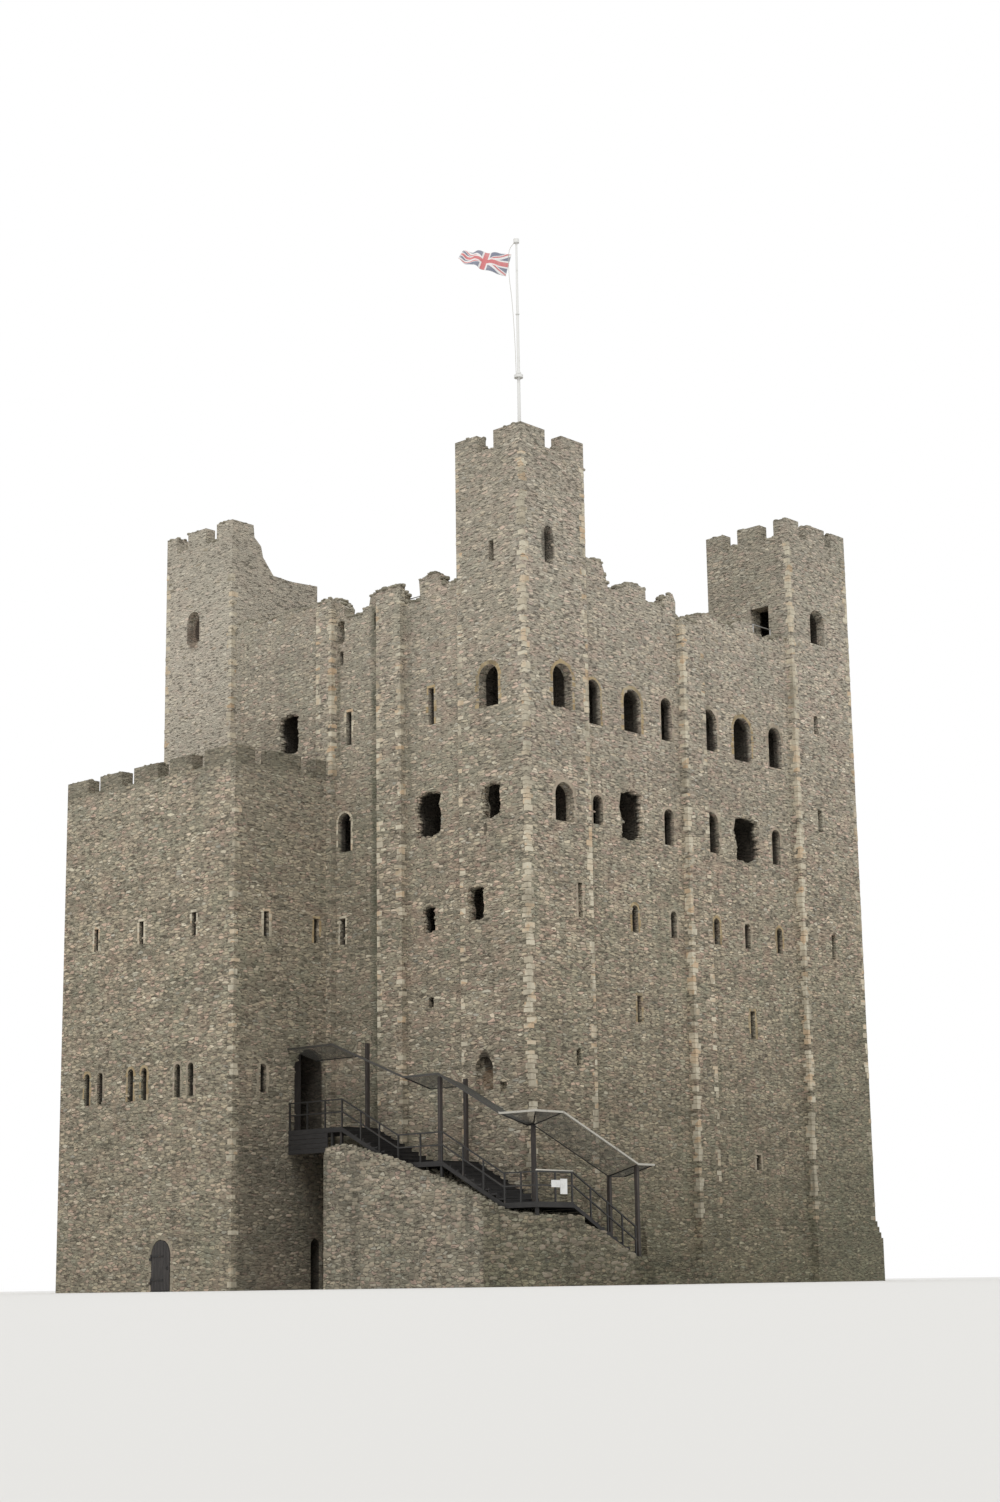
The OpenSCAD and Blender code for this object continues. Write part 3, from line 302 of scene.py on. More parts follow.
def rubbleFinish(name, facts, inside=None, dampAndShade=False):
    bench = Bench(name)
    tones = rubbleTones
    where = bench.place()
    x, y, z = bench.axes(where)
    sway = bench.noise(where, 4.0, 3.0, out="Color")
    moved = bench.vector("ADD", where, bench.vector("MULTIPLY", sway, (0.055, 0.055, 0.05)))
    spread = bench.vector("MULTIPLY", moved, facts["stones"])
    pick, bright, lift = bench.channels(bench.cells(spread, 0.9))
    body = bench.cells(spread, 0.9, "DISTANCE_TO_EDGE", "Distance").step(0.03, 0.13)
    wall = bench.tint(bench.ramp(pick, tones["stones"]), bench.ramp(bright, tones["bright"]))
    mortar = bench.ramp(bench.noise(where, 24.0, 2.0), tones["mortar"])
    wall = bench.blend(body, mortar, wall)
    # lifts of the wall, patches of brown stone, green stain and streaks
    lifts = bench.noise(bench.place(scale=(0.35, 0.35, 2.3)), 1.0, 4.0, 0.6)
    patch = bench.noise(bench.place(shift=(7, 3, 2)), 1.3, 5.0, 0.6)
    wall = bench.tint(wall, bench.ramp(lifts * 0.55 + patch * 0.45, tones["lifts"]))
    brown = bench.noise(bench.place(scale=(1.0, 1.0, 1.6), shift=(3, 8, 1)), 1.9, 5.0, 0.62)
    wall = bench.blend(brown.step(0.50, 0.68) * facts["brown"], wall, tones["brown"])
    moss = bench.noise(bench.place(scale=(1.0, 1.0, 0.4), shift=(2, 9, 4)), 1.5, 5.0, 0.65)
    wall = bench.blend(moss.step(0.46, 0.74) * facts["green"], wall, tones["green"])
    drip = bench.noise(bench.place(scale=(3.4, 3.4, 0.16)), 1.0, 3.5, 0.55)
    dark = (drip.step(0.52, 0.76) * facts["streak"] + (1 - z.step(0.0, 7.5)) * 0.26).smaller(0.62)
    wall = bench.blend(dark, wall, tones["streak"])
    # higher up the stone is paler and greyer; the west face gets painted light and shade by height, darker low
    # down and brighter high up
    wall = bench.blend(z.step(6.5, 15.0) * facts["pale"], wall, tones["pale"])
    west = x.step(5.0, 5.16)
    wall = bench.blend(west, wall, bench.tint(wall, bench.ramp(z * 0.0625, tones["westPaintedLight"])))
    far = y.step(2.2, 4.2) * west * (1 - z.step(4.5, 8.0)) * 0.34
    wall = bench.blend(far, wall, tones["farGreen"])
    east = (1 - x.step(-3.05, -2.9)) * z.step(10.0, 11.0) * 0.4
    wall = bench.blend(east, wall, tones["eastPale"])
    # pits in the joints, sunk by the bump, with their darkness painted shade, and more of them on the west face
    pits = bench.noise(bench.place(scale=(8.5, 8.5, 30.0)), 1.0, 2.5, 0.5)
    deep = (pits + x.step(5.0, 5.15) * 0.022 + facts["pits"]).step(0.565, 0.650)
    wall = bench.blend(deep * 0.66, wall, tones["pits"])
    if dampAndShade:
        wall = bench.blend(z.step(13.4, 16.1) * 0.20, wall, tones["keepCap"])
        # painted shade and damp stain in the corners beside the pilasters
        for place, half, strength, low, top in dampShadeStrips:
            away = (x - place).size() + (drip - 0.5) * half * 0.9
            strip = (1 - away.step(half * 0.2, half)) * (y < -5.0)
            strip = strip * z.step(low, low + 0.4) * (1 - z.step(top - 0.5, top))
            strip = strip * (0.35 + patch.step(0.30, 0.62) * 0.75)
            wall = bench.blend(strip * strength, wall, tones["dampAndShade"])
    elif inside:
        wall = bench.blend(z.step(9.95, 10.12) * 0.52, wall, tones["towerCap"])
    wall = bench.tint(wall, (*facts["tint"], 1))
    # painted shade of the hollows and broken recesses, some of it brown
    for axis, value, across, height, wide, tall, strength, shade in paintedHollowShade if dampAndShade else []:
        along, away = (x, y) if axis == "y" else (y, x)
        first, second = (along - across) / wide, (z - height) / tall
        reach = first * first + second * second + (pits - 0.5) * 1.6
        spot = (1 - reach.step(0.55, 1.1)) * (1 - (away - value).size().step(0.30, 0.34))
        wall = bench.blend(spot * strength, wall, (*shade, 1))
    # painted shade of the unlit insides, and for the tower also of its west face
    if inside:
        wall = bench.blend(inside(x, y, z) * 0.86, wall, tones["unlit"])
    grain = bench.noise(where, 38.0, 3.0, 0.6)
    height = body * (0.45 + lift * 0.55) + grain * 0.20 - deep * 0.9
    return bench.surface(Base_Color=wall, Roughness=0.92, Specular_IOR_Level=0.2,
                         Normal=bench.bump(height, 0.018, 0.9))


cutFacts = {
    "pale": [(0.0, (0.380, 0.330, 0.245)), (0.3, (0.520, 0.465, 0.360)), (0.6, (0.620, 0.570, 0.450)),
             (0.85, (0.560, 0.420, 0.280)), (1.0, (0.420, 0.290, 0.185))],
    "ochre": [(0.0, (0.250, 0.185, 0.105)), (0.4, (0.390, 0.295, 0.165)), (0.75, (0.430, 0.340, 0.205)),
              (1.0, (0.400, 0.350, 0.265))],
    "capping": [(0.0, (0.155, 0.145, 0.110)), (0.4, (0.265, 0.243, 0.188)), (0.75, (0.360, 0.326, 0.258)),
                (1.0, (0.215, 0.212, 0.152))],
    "field": [(0.0, (0.215, 0.190, 0.145)), (0.25, (0.330, 0.290, 0.220)), (0.5, (0.400, 0.350, 0.268)),
              (0.75, (0.380, 0.300, 0.235)), (1.0, (0.530, 0.480, 0.385))],
}


def cutStoneFinish(name, stops, cells=(5.2, 5.2, 8.5)):
    bench = Bench(name)
    where = bench.place()
    x, y, z = bench.axes(where)
    pick = bench.channels(bench.cells(bench.vector("MULTIPLY", where, cells)))[0]
    worn = bench.noise(where, 9.0, 4.0, 0.6)
    stone = bench.ramp(pick * 0.78 + worn * 0.22, stops)
    grime = bench.noise(bench.place(scale=(1.5, 1.5, 0.5)), 1.6, 4.0)
    # grime patches, darker towards the bottom, painted shade low on the west face as on its rubble, and a
    # little darker on the tower
    low = x.step(5.0, 5.16) * (1 - z.step(0.5, 4.5)) * 0.34
    tower = (1 - y.step(-7.5, -7.3)) * 0.10
    dark = (grime.step(0.46, 0.70) * 0.5 + (1 - z.step(0.0, 7.5)) * 0.22 + low + tower).smaller(0.8)
    stone = bench.blend(dark, stone, (0.105, 0.096, 0.070, 1))
    pits = bench.noise(where, 55.0, 3.0, 0.65)
    stone = bench.blend(pits.step(0.58, 0.72) * 0.45, stone, (0.115, 0.098, 0.070, 1))
    return bench.surface(Base_Color=stone, Roughness=0.9, Specular_IOR_Level=0.2,
                         Normal=bench.bump(pits * 0.5 + worn * 0.5, 0.006, 0.7))


# light and dark of the grain, its scale (small along the grain), and boards to a metre
woodFacts = {
    "floorOak": ((0.230, 0.175, 0.118), (0.100, 0.072, 0.048), (1.2, 9.0, 9.0), 9.0),
    "doorOak": ((0.042, 0.036, 0.033), (0.016, 0.014, 0.013), (14.0, 14.0, 1.1), 0),
    "stairOak": ((0.024, 0.022, 0.021), (0.009, 0.008, 0.008), (2.0, 12.0, 12.0), 0),
    "postOak": ((0.060, 0.049, 0.042), (0.022, 0.018, 0.016), (13.0, 13.0, 1.2), 0),
}


def woodFinish(name, light, dark, scale, boards):
    bench = Bench(name)
    along = bench.place(scale=scale)
    grain = bench.noise(along, 3.0, 5.0, 0.62)
    rings = bench.noise(along, 11.0, 2.0, 0.5)
    worn = bench.noise(bench.place(), 1.7, 3.0)
    mix = (grain * 0.7 + rings * 0.3).step(0.32, 0.70)
    wood = bench.blend(mix, (*dark, 1), (*light, 1))
    wood = bench.blend(worn.step(0.5, 0.75) * 0.12, wood, (0.13, 0.12, 0.105, 1))
    height = grain * 0.7 + rings * 0.3
    if boards:
        x = bench.axes(bench.place())[0]
        gap = ((x * boards).part() - 0.5).size().step(0.455, 0.49)
        wood = bench.blend(gap * 0.8, wood, (0.012, 0.010, 0.008, 1))
        height = height - gap
    return bench.surface(Base_Color=wood, Roughness=0.72, Normal=bench.bump(height, 0.004, 0.8))


# clean and worn colour, roughness, metal, size of the spots, and the x before which the paint is dark as
# painted shade, the part beyond keeping its pale colour as painted sunlight
metalFacts = {
    "blackIron": ((0.040, 0.039, 0.038), (0.115, 0.070, 0.045), 0.55, 0.7, 9.0),
    "darkSteel": ((0.030, 0.029, 0.028), (0.072, 0.060, 0.052), 0.5, 0.35, 5.0),
    "meshWire": ((0.085, 0.084, 0.076), (0.150, 0.142, 0.122), 0.5, 0.4, 7.0),
    "paleEdge": ((0.440, 0.420, 0.370), (0.260, 0.235, 0.195), 0.42, 0.2, 6.0),
    "canopyEdge": ((0.440, 0.420, 0.370), (0.260, 0.235, 0.195), 0.42, 0.2, 6.0, 5.42),
    "poleWhite": ((0.740, 0.740, 0.725), (0.540, 0.530, 0.500), 0.35, 0.0, 3.0),
    "boardWhite": ((0.700, 0.700, 0.690), (0.560, 0.555, 0.540), 0.5, 0.0, 5.0),
    "paleSteel": ((0.500, 0.500, 0.490), (0.300, 0.290, 0.270), 0.4, 0.3, 8.0),
}


def metalFinish(name, clean, rusty, rough, metal, spots, paintedShadeBefore=None):
    bench = Bench(name)
    where = bench.place()
    cloud = bench.noise(where, spots, 5.0, 0.62)
    fine = bench.noise(where, spots * 9, 2.0)
    worn = (cloud * 0.8 + fine * 0.2).step(0.52, 0.70)
    paint = bench.blend(worn, (*clean, 1), (*rusty, 1))
    if paintedShadeBefore:
        # painted light and shade of one edge: dark before this x, pale beyond it
        x = bench.axes(where)[0]
        paint = bench.blend(1 - x.step(paintedShadeBefore, paintedShadeBefore + 0.05), paint, (0.050, 0.047, 0.042, 1))
    return bench.surface(Base_Color=paint, Metallic=metal, Roughness=rough + worn * 0.25,
                         Normal=bench.bump(fine * 0.4 + cloud * 0.6, 0.0015, 0.6))


def ropeFinish(name):
    bench = Bench(name)
    x, y, z = bench.axes(bench.place())
    twist = ((z * 70 + x * 40 + y * 40).part() - 0.5).size()
    lay = bench.blend(twist.step(0.1, 0.45), (0.62, 0.60, 0.54, 1), (0.36, 0.34, 0.30, 1))
    return bench.surface(Base_Color=lay, Roughness=0.85, Normal=bench.bump(twist, 0.002, 0.8))


buntingFacts = {"blue": (0.190, 0.205, 0.265, 1), "red": (0.560, 0.175, 0.180, 1),
                "white": (0.720, 0.710, 0.700, 1)}


def buntingFinish(name, facts):
    # the crossed flag, drawn on the cloth's own map; sizes are in half heights
    bench = Bench(name)
    u, v = bench.axes(bench.place(source="UV"))[:2]
    x, y = (u - 0.5) * 4, (v - 0.5) * 2
    rising, falling = (x - y * 2) * 0.4472, (x + y * 2) * 0.4472
    left = x < 0
    whiteArms = (rising.size() < 0.2).larger(falling.size() < 0.2)
    redRising = (rising * (1 - left * 2) > 0) * (rising.size() < 0.133)
    redFalling = (falling * (1 - left * 2) < 0) * (falling.size() < 0.133)
    whiteCross = (x.size() < 0.333).larger(y.size() < 0.333)
    redCross = (x.size() < 0.2).larger(y.size() < 0.2)
    cloth = bench.blend(whiteArms, facts["blue"], facts["white"])
    cloth = bench.blend(redRising.larger(redFalling), cloth, facts["red"])
    cloth = bench.blend(whiteCross, cloth, facts["white"])
    cloth = bench.blend(redCross, cloth, facts["red"])
    faded = bench.noise(bench.place(), 6.0, 3.0)
    cloth = bench.blend(faded.step(0.4, 0.8) * 0.25, cloth, (0.62, 0.60, 0.58, 1))
    weave = ((u * 420).part() - 0.5).size() + ((v * 200).part() - 0.5).size()
    hem = u.step(0.965, 0.985) + v.step(0.97, 0.985) + 1 - v.step(0.015, 0.03) + 1 - u.step(0.01, 0.02)
    hem = hem.smaller(1.0)
    cloth = bench.blend(hem * 0.3, cloth, (0.72, 0.71, 0.69, 1))
    return bench.surface(Base_Color=cloth, Roughness=0.8, Normal=bench.bump(weave, 0.0008, 0.5))


finishes = {
    "rubble_stone": rubbleFinish("keepRubble", stoneFacts["keep"], shadeInsideKeep, True),
    "dark_stone": rubbleFinish("towerRubble", stoneFacts["tower"], shadeOfTower),
    "base_stone": rubbleFinish("baseRubble", stoneFacts["base"]),
    "pale_cut": cutStoneFinish("paleCutStone", cutFacts["pale"]),
    "ochre_cut": cutStoneFinish("ochreCutStone", cutFacts["ochre"]),
    "capping": cutStoneFinish("cappingStone", cutFacts["capping"], (9.0, 9.0, 12.0)),
    "field": cutStoneFinish("fieldStones", cutFacts["field"], (4.0, 4.0, 9.0)),
    "rope": ropeFinish("halyardRope"),
    "bunting": buntingFinish("crossedBunting", buntingFacts),
}
for name, facts in woodFacts.items():
    finishes[name] = woodFinish(name, *facts)
for name, facts in metalFacts.items():
    finishes[name] = metalFinish(name, *facts)

# the CAD nodes of each finish; those that aren't named are rubble
nodeFinish = {
    "floorOak": ["entrance_floor", "second_floor", "third_floor", "gallery_floor", "tower_floors"],
    "doorOak": ["ground_door", "entrance_door"], "blackIron": ["door_hinges"],
    "dark_stone": ["tower_wall_beside_door", "tower_wall_east_part", "tower_wall_over_door", "tower_west_wall",
                   "tower_east_wall", "tower_parapet"],
    "base_stone": ["keep_ground_floor", "old_stair_base", "stone_steps"],
    "stairOak": ["stair_landings", "upper_flight", "lower_flight", "west_flight"],
    "darkSteel": ["stair_legs", "handrails"], "postOak": ["canopy_posts"], "meshWire": ["canopy_mesh"],
    "canopyEdge": ["canopy_edges"], "poleWhite": ["flagpole"], "rope": ["halyard"], "bunting": ["flag"],
}
finishOf = {node: finish for finish, named in nodeFinish.items() for node in named}


def dressNode(name):
    node = nodes[name]
    finish = finishes[finishOf.get(name, "rubble_stone")]
    if not node.data.materials:
        node.data.materials.append(finish)
    for slot in node.material_slots:
        slot.material = finish


# the CAD nodes keep their shapes and take these finishes
for name in nodes:
    dressNode(name)
print("keep: finishes on the CAD nodes")


# hand tools, used for every new piece
def alone(thing):
    bpy.ops.object.select_all(action="DESELECT")
    thing.select_set(True)
    bpy.context.view_layer.objects.active = thing


def pickFaces(thing, test):
    alone(thing)
    bpy.ops.object.mode_set(mode="EDIT")
    bpy.ops.mesh.select_mode(type="FACE")
    bpy.ops.mesh.select_all(action="DESELECT")
    bpy.ops.object.mode_set(mode="OBJECT")
    for face in thing.data.polygons:
        face.select = test(face.center, face.normal)
    bpy.ops.object.mode_set(mode="EDIT")


def settle(thing):
    alone(thing)
    bpy.ops.object.transform_apply(location=True, rotation=True, scale=True)
    return thing


def fromShape(operator, **settings):
    # a new primitive, added with nothing else selected
    bpy.ops.object.select_all(action="DESELECT")
    operator(**settings)
    return settle(bpy.context.object)


def insetFaces(thing, test, rim, shift=None):
    # the picked faces get a rim and are then pushed in or out
    pickFaces(thing, test)
    bpy.ops.mesh.inset(thickness=rim)
    if shift:
        bpy.ops.transform.translate(value=shift)
    bpy.ops.object.mode_set(mode="OBJECT")
    return thing


def turnOutwards(thing):
    alone(thing)
    bpy.ops.object.mode_set(mode="EDIT")
    bpy.ops.mesh.select_all(action="SELECT")
    bpy.ops.mesh.normals_make_consistent(inside=False)
    bpy.ops.object.mode_set(mode="OBJECT")
    return thing


def addBlock(name, low, high):
    middle = [(a + b) / 2 for a, b in zip(low, high)]
    size = [b - a for a, b in zip(low, high)]
    block = fromShape(bpy.ops.mesh.primitive_cube_add, size=1, location=middle, scale=size)
    block.name = name
    return block


def roughBlock(name, test, bevel, rough, seed):
    # a unit block with the edges of some faces eased, and roughened all over
    stone = addBlock(name, (-0.5, -0.5, -0.5), (0.5, 0.5, 0.5))
    pickFaces(stone, test)
    bpy.ops.mesh.bevel(offset=bevel, segments=1, affect="EDGES")
    bpy.ops.mesh.select_all(action="SELECT")
    bpy.ops.transform.vertex_random(offset=rough, seed=seed)
    bpy.ops.object.mode_set(mode="OBJECT")
    return stone


def cutStone(name, bevel, rough, seed):
    # a dressed block with a worn front, which looks to -Y
    return roughBlock(name, lambda centre, normal: normal.y < -0.9, bevel, rough, seed)


def fieldStones(name, rough, seed, count):
    # lumps for broken edges and ruined tops
    return [roughBlock(name, lambda centre, normal: True, 0.24, rough, seed + number)
            for number in range(count)]


def copyTo(master, spot):
    twin = master.copy()
    twin.data = master.data.copy()
    bpy.context.collection.objects.link(twin)
    twin.matrix_world = spot
    return twin


def barBetween(master, start, end, wide, tall=None):
    # a copy of a unit bar from one point to another, its width kept level
    start, end = Vector(start), Vector(end)
    run = end - start
    side = Vector((0, 0, 1)).cross(run)
    side = side.normalized() if side.length > 1e-6 else Vector((0, 1, 0))
    up = run.cross(side).normalized()
    spot = Matrix((run, side * wide, up * (tall or wide))).transposed().to_4x4()
    spot.translation = (start + end) / 2
    return copyTo(master, spot)


def joinAs(name, things):
    bpy.context.view_layer.update()
    base = things[0]
    with bpy.context.temp_override(active_object=base, object=base, selected_objects=things,
                                   selected_editable_objects=things):
        bpy.ops.object.join()
    settle(base)
    base.name = name
    return base


def discard(things):
    for thing in things:
        bpy.data.objects.remove(thing, do_unlink=True)


def finishPiece(piece, finish, body="building"):
    piece.data.materials.clear()
    piece.data.materials.append(finishes[finish])
    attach(piece, body)
    return piece


def finishJoined(name, things, finish, masters=(), body="building"):
    # copies joined into one finished piece; the masters they came from go
    piece = finishPiece(joinAs(name, things), finish, body)
    discard(masters)
    return piece


def onSide(side, across, out, z, size, lean=0.0):
    # side 0 is north, 1 west, 2 south, 3 east; across runs along the face, out is the distance of the face
    spot = Matrix.Rotation(math.pi / 2 * side, 4, "Z") @ Matrix.Translation((across, -out, z))
    return spot @ Matrix.Rotation(lean, 4, "Y") @ Matrix.Diagonal((*size, 1))


def shellOf(names):
    # one search tree over the surfaces of these CAD nodes
    points, faces = [], []
    for name in names:
        mesh = nodes[name].data
        start = len(points)
        points += [vertex.co.copy() for vertex in mesh.vertices]
        faces += [[start + index for index in face.vertices] for face in mesh.polygons]
    return BVHTree.FromPolygons(points, faces)


# pale corner stones stand in columns of alternate long and short blocks
quoinFacts = {"long": 0.150, "short": 0.090, "course": 0.100, "proud": 0.007, "columns": 5, "rows": 16,
              "tall": (0.7, 1.35), "wide": (0.75, 1.2), "fill": 0.9}
# x, y, way out along x and y, lowest, highest, share of stones still pale
quoinCorners = [
    (5.325, -5.325, 1, -1, 1.24, 15.8, 0.78), (3.575, -5.325, -1, -1, 2.75, 15.8, 0.34),
    (5.325, -3.5, 1, 1, 1.24, 15.8, 0.62), (-3.125, -5.325, 1, -1, 10.45, 15.1, 0.62),
    (-5.325, -5.325, -1, -1, 10.45, 15.7, 0.4), (-5.325, -2.85, -1, 1, 1.24, 15.0, 0.5),
    (5.325, 3.2, 1, -1, 1.24, 15.7, 0.86), (5.325, 5.325, 1, 1, 1.24, 15.7, 0.5),
    (3.1, 5.325, -1, 1, 1.24, 15.7, 0.6), (-5.325, 5.325, -1, 1, 1.24, 15.7, 0.7),
    (-5.325, 3.2, -1, -1, 1.24, 15.7, 0.6), (-3.1, 5.325, 1, 1, 1.24, 15.7, 0.6),
    (1.32, -5.325, -1, -1, 2.6, 13.5, 0.42), (2.0, -5.325, 1, -1, 2.45, 13.5, 0.34),
    (0.0, -5.325, 1, -1, 10.1, 13.6, 0.6), (-0.46, -5.325, -1, -1, 10.45, 13.6, 0.4),
    (5.325, -0.55, 1, -1, 1.24, 13.1, 0.7), (5.325, 0.13, 1, 1, 1.24, 13.1, 0.34),
    (0.34, 5.325, 1, 1, 1.24, 13.5, 0.5), (-0.34, 5.325, -1, 1, 1.24, 13.5, 0.5),
    (-5.325, 0.34, -1, 1, 1.24, 13.4, 0.5), (-5.325, -0.34, -1, -1, 1.24, 13.4, 0.5),
]
towerCorners = [(-0.15, -7.715, 1, -1, 0.05, 9.7, 0.3)]


def quoinColumns(facts, share, seed):
    # columns, the corner at the origin and the wall towards -x and +y
    chance = random.Random(seed)
    stone = cutStone("quoinMaster", 0.05, 0.035, seed)
    columns = []
    for number in range(facts["columns"]):
        blocks = []
        z = 0.0
        for row in range(facts["rows"]):
            tall = facts["course"] * chance.uniform(*facts["tall"])
            lengths = [facts["long"], facts["short"]]
            if chance.random() < 0.5:
                lengths.reverse()
            wide, deep = [length * chance.uniform(*facts["wide"]) for length in lengths]
            proud = facts["proud"] * chance.uniform(0.3, 1.0)
            if chance.random() < share or not blocks:
                middle = (proud - wide / 2, deep / 2 - proud, z + tall / 2)
                size = (wide, deep, tall * facts["fill"], 1)
                spot = Matrix.Translation(middle) @ Matrix.Diagonal(size)
                blocks.append(copyTo(stone, spot))
            z += tall
        columns.append((joinAs("quoinColumn", blocks), z))
    discard([stone])
    return columns


def layQuoins(name, corners, facts, seed):
    chance = random.Random(seed)
    kinds = {}
    laid = []
    for cx, cy, wayX, wayY, low, high, share in corners:
        if share not in kinds:
            kinds[share] = quoinColumns(facts, share, seed + len(kinds))
        z = low
        while z < high - 0.3:
            column, tall = kinds[share][chance.randrange(facts["columns"])]
            part = min(1.0, (high - z) / tall)
            spot = Matrix.Translation((cx, cy, z)) @ Matrix.Diagonal((wayX, -wayY, part, 1))
            laid.append(copyTo(column, spot))
            z += tall * part
    piece = turnOutwards(joinAs(name, laid))
    for columns in kinds.values():
        discard([column for column, tall in columns])
    return finishPiece(piece, "pale_cut")


layQuoins("keepQuoins", quoinCorners, quoinFacts, 11)
layQuoins("towerQuoins", towerCorners, quoinFacts, 12)
print("keep: corner stones laid")


# windows of the seen sides, by side (0 is north, 1 west) and distance of the face:
# place across, sill, height, width, kind, stone of the dressing
windowRows = {
    (0, 5.175): [
        (2.60, 6.64, 0.53, 0.37, "broken", "pale"), (0.18, 6.655, 0.53, 0.15, "loop", "pale"),
        (2.60, 8.51, 0.90, 0.72, "broken", "ochre"), (0.23, 8.52, 0.79, 0.37, "round", "pale"),
        (2.705, 10.71, 0.74, 0.15, "loop", "ochre"), (0.365, 10.685, 0.69, 0.15, "loop", "pale"),
        (-1.44, 10.77, 0.87, 0.62, "broken", "pale")],
    (0, 5.325): [
        (4.39, 10.76, 0.82, 0.50, "round", "ochre"), (4.41, 8.61, 0.69, 0.52, "broken", "pale"),
        (3.98, 6.70, 0.665, 0.46, "broken", "pale")],
    (1, 5.325): [
        (-4.2525, 10.74, 0.87, 0.55, "round", "ochre"), (-4.2625, 8.54, 0.75, 0.52, "round", "field"),
        (-3.8725, 6.755, 0.66, 0.12, "loop", "field")],
    (1, 5.175): [
        (-2.10, 6.655, 0.53, 0.18, "round", "ochre"), (-0.915, 6.655, 0.53, 0.18, "round", "field"),
        (0.455, 6.655, 0.53, 0.18, "round", "ochre"), (1.465, 6.655, 0.53, 0.18, "round", "field"),
        (2.555, 6.655, 0.53, 0.18, "round", "ochre"), (-3.13, 8.65, 0.57, 0.29, "round", "field"),
        (-2.15, 8.47, 1.0, 0.70, "broken", "pale"), (-0.97, 8.505, 0.73, 0.30, "round", "field"),
        (0.39, 8.52, 0.84, 0.46, "round", "field"), (1.53, 8.46, 0.96, 0.84, "broken", "pale"),
        (2.56, 8.52, 0.74, 0.28, "round", "field"), (-2.02, 10.64, 0.87, 0.52, "round", "ochre"),
        (0.415, 10.64, 0.87, 0.52, "round", "field"), (-3.19, 10.62, 0.89, 0.40, "round", "ochre"),
        (-0.96, 10.63, 0.88, 0.34, "round", "field"), (1.53, 10.58, 0.93, 0.59, "round", "ochre"),
        (2.65, 10.60, 0.88, 0.44, "round", "field"), (-2.045, 4.915, 0.52, 0.12, "loop", "ochre"),
        (1.53, 4.825, 0.56, 0.15, "loop", "ochre"), (1.56, 2.205, 0.295, 0.15, "loop", "field")],
}
# the hidden sides repeat four plain storeys
for side, spots in ((2, (-2.15, -1.0, 1.0, 2.15)), (3, (-2.2, -1.0, 0.85, 2.0))):
    rows = windowRows[(side, 5.175)] = []
    for across in spots:
        rows.append((across, 6.655, 0.53, 0.15, "loop", "ochre"))
        rows.append((across, 8.52, 0.75, 0.30, "round", "field"))
        rows.append((across, 10.64, 0.87, 0.52, "round", "ochre"))
    for across in (spots[0], spots[3]):
        rows.append((across, 4.825, 0.56, 0.15, "loop", "ochre"))
# the entrance tower, and the ground doorway last
towerPairs = [(-4.645, "ochre"), (-4.22, "field"), (-3.24, "ochre"), (-2.82, "ochre"), (-1.79, "field"),
              (-1.39, "field")]
windowRows[(0, 7.715)] = [(across, 3.67, 0.64, 0.17, "round", stone) for across, stone in towerPairs]
windowRows[(0, 7.715)] += [(across, 6.775, 0.46, 0.13, "loop", "pale") for across in (-4.44, -2.98, -1.35)]
windowRows[(1, -0.15)] = [
    (-6.96, 3.69, 0.55, 0.19, "round", "field"), (-6.89, 6.71, 0.49, 0.13, "loop", "pale"),
    (-5.575, 6.69, 0.49, 0.13, "loop", "ochre")]
windowList = [(side, out, *row) for (side, out), rows in windowRows.items() for row in rows]
windowList.append((0, 7.715, -2.21, 0.0, 0.974, 0.578, "round", "field"))
dressingFacts = {"band": 0.050, "wideBand": 0.075, "course": 0.115, "proud": 0.005, "deep": 0.10,
                 "loopDeep": 0.030, "kept": 0.82, "fill": 0.94, "wedge": 0.085, "courses": (0.8, 1.25),
                 "jambs": (0.7, 1.5), "arch": (0.9, 1.25), "wedgeFoot": 0.78}


def dressWindows(name, stoneKind, finish, facts, seed):
    chance = random.Random(seed)
    stone = cutStone("jambMaster", 0.07, 0.03, seed)
    wedge = cutStone("voussoirMaster", 0.07, 0.02, seed + 1)  # narrower at its foot
    pickFaces(wedge, lambda centre, normal: normal.z < -0.7)
    bpy.ops.transform.resize(value=(facts["wedgeFoot"], 1, 1))
    bpy.ops.object.mode_set(mode="OBJECT")
    made = []
    for side, out, across, sill, tall, wide, kind, tint in windowList:
        if tint != stoneKind or kind == "broken":
            continue
        band = facts["wideBand"] if wide > 0.4 else facts["band"]
        deep = facts["deep"] if wide > 0.25 else facts["loopDeep"]
        radius = wide / 2
        spring = sill + tall - (radius if kind == "round" else 0)
        z = sill
        while z < spring - 0.03:
            step = min(facts["course"] * chance.uniform(*facts["courses"]), spring - z)
            for way in (-1, 1):
                reach = band * chance.uniform(*facts["jambs"])
                proud = facts["proud"] * chance.uniform(0.3, 1.0)
                middle = across + way * (radius + 0.002 + reach / 2)
                if chance.random() < facts["kept"]:
                    size = (reach, deep, step * facts["fill"])
                    made.append(copyTo(stone, onSide(side, middle, out + proud - deep / 2, z + step / 2, size)))
            z += step
        if kind == "round":
            count = max(5, round(math.pi * (radius + band / 2) / facts["wedge"]))
            for number in range(count):
                angle = math.pi * (number + 0.5) / count - math.pi / 2
                reach = band * chance.uniform(*facts["arch"])
                far = radius + reach / 2
                proud = facts["proud"] * chance.uniform(0.4, 1.0)
                size = (math.pi * (radius + reach) / count * facts["fill"], deep, reach)
                spot = onSide(side, across + far * math.sin(angle), out + proud - deep / 2,
                              spring + far * math.cos(angle), size, lean=angle)
                made.append(copyTo(wedge, spot))
        else:
            size = (wide + band * 1.4, deep, band)
            spot = onSide(side, across, out + facts["proud"] - deep / 2, sill + tall + band / 2, size)
            made.append(copyTo(stone, spot))
    return finishJoined(name, made, finish, [stone, wedge])


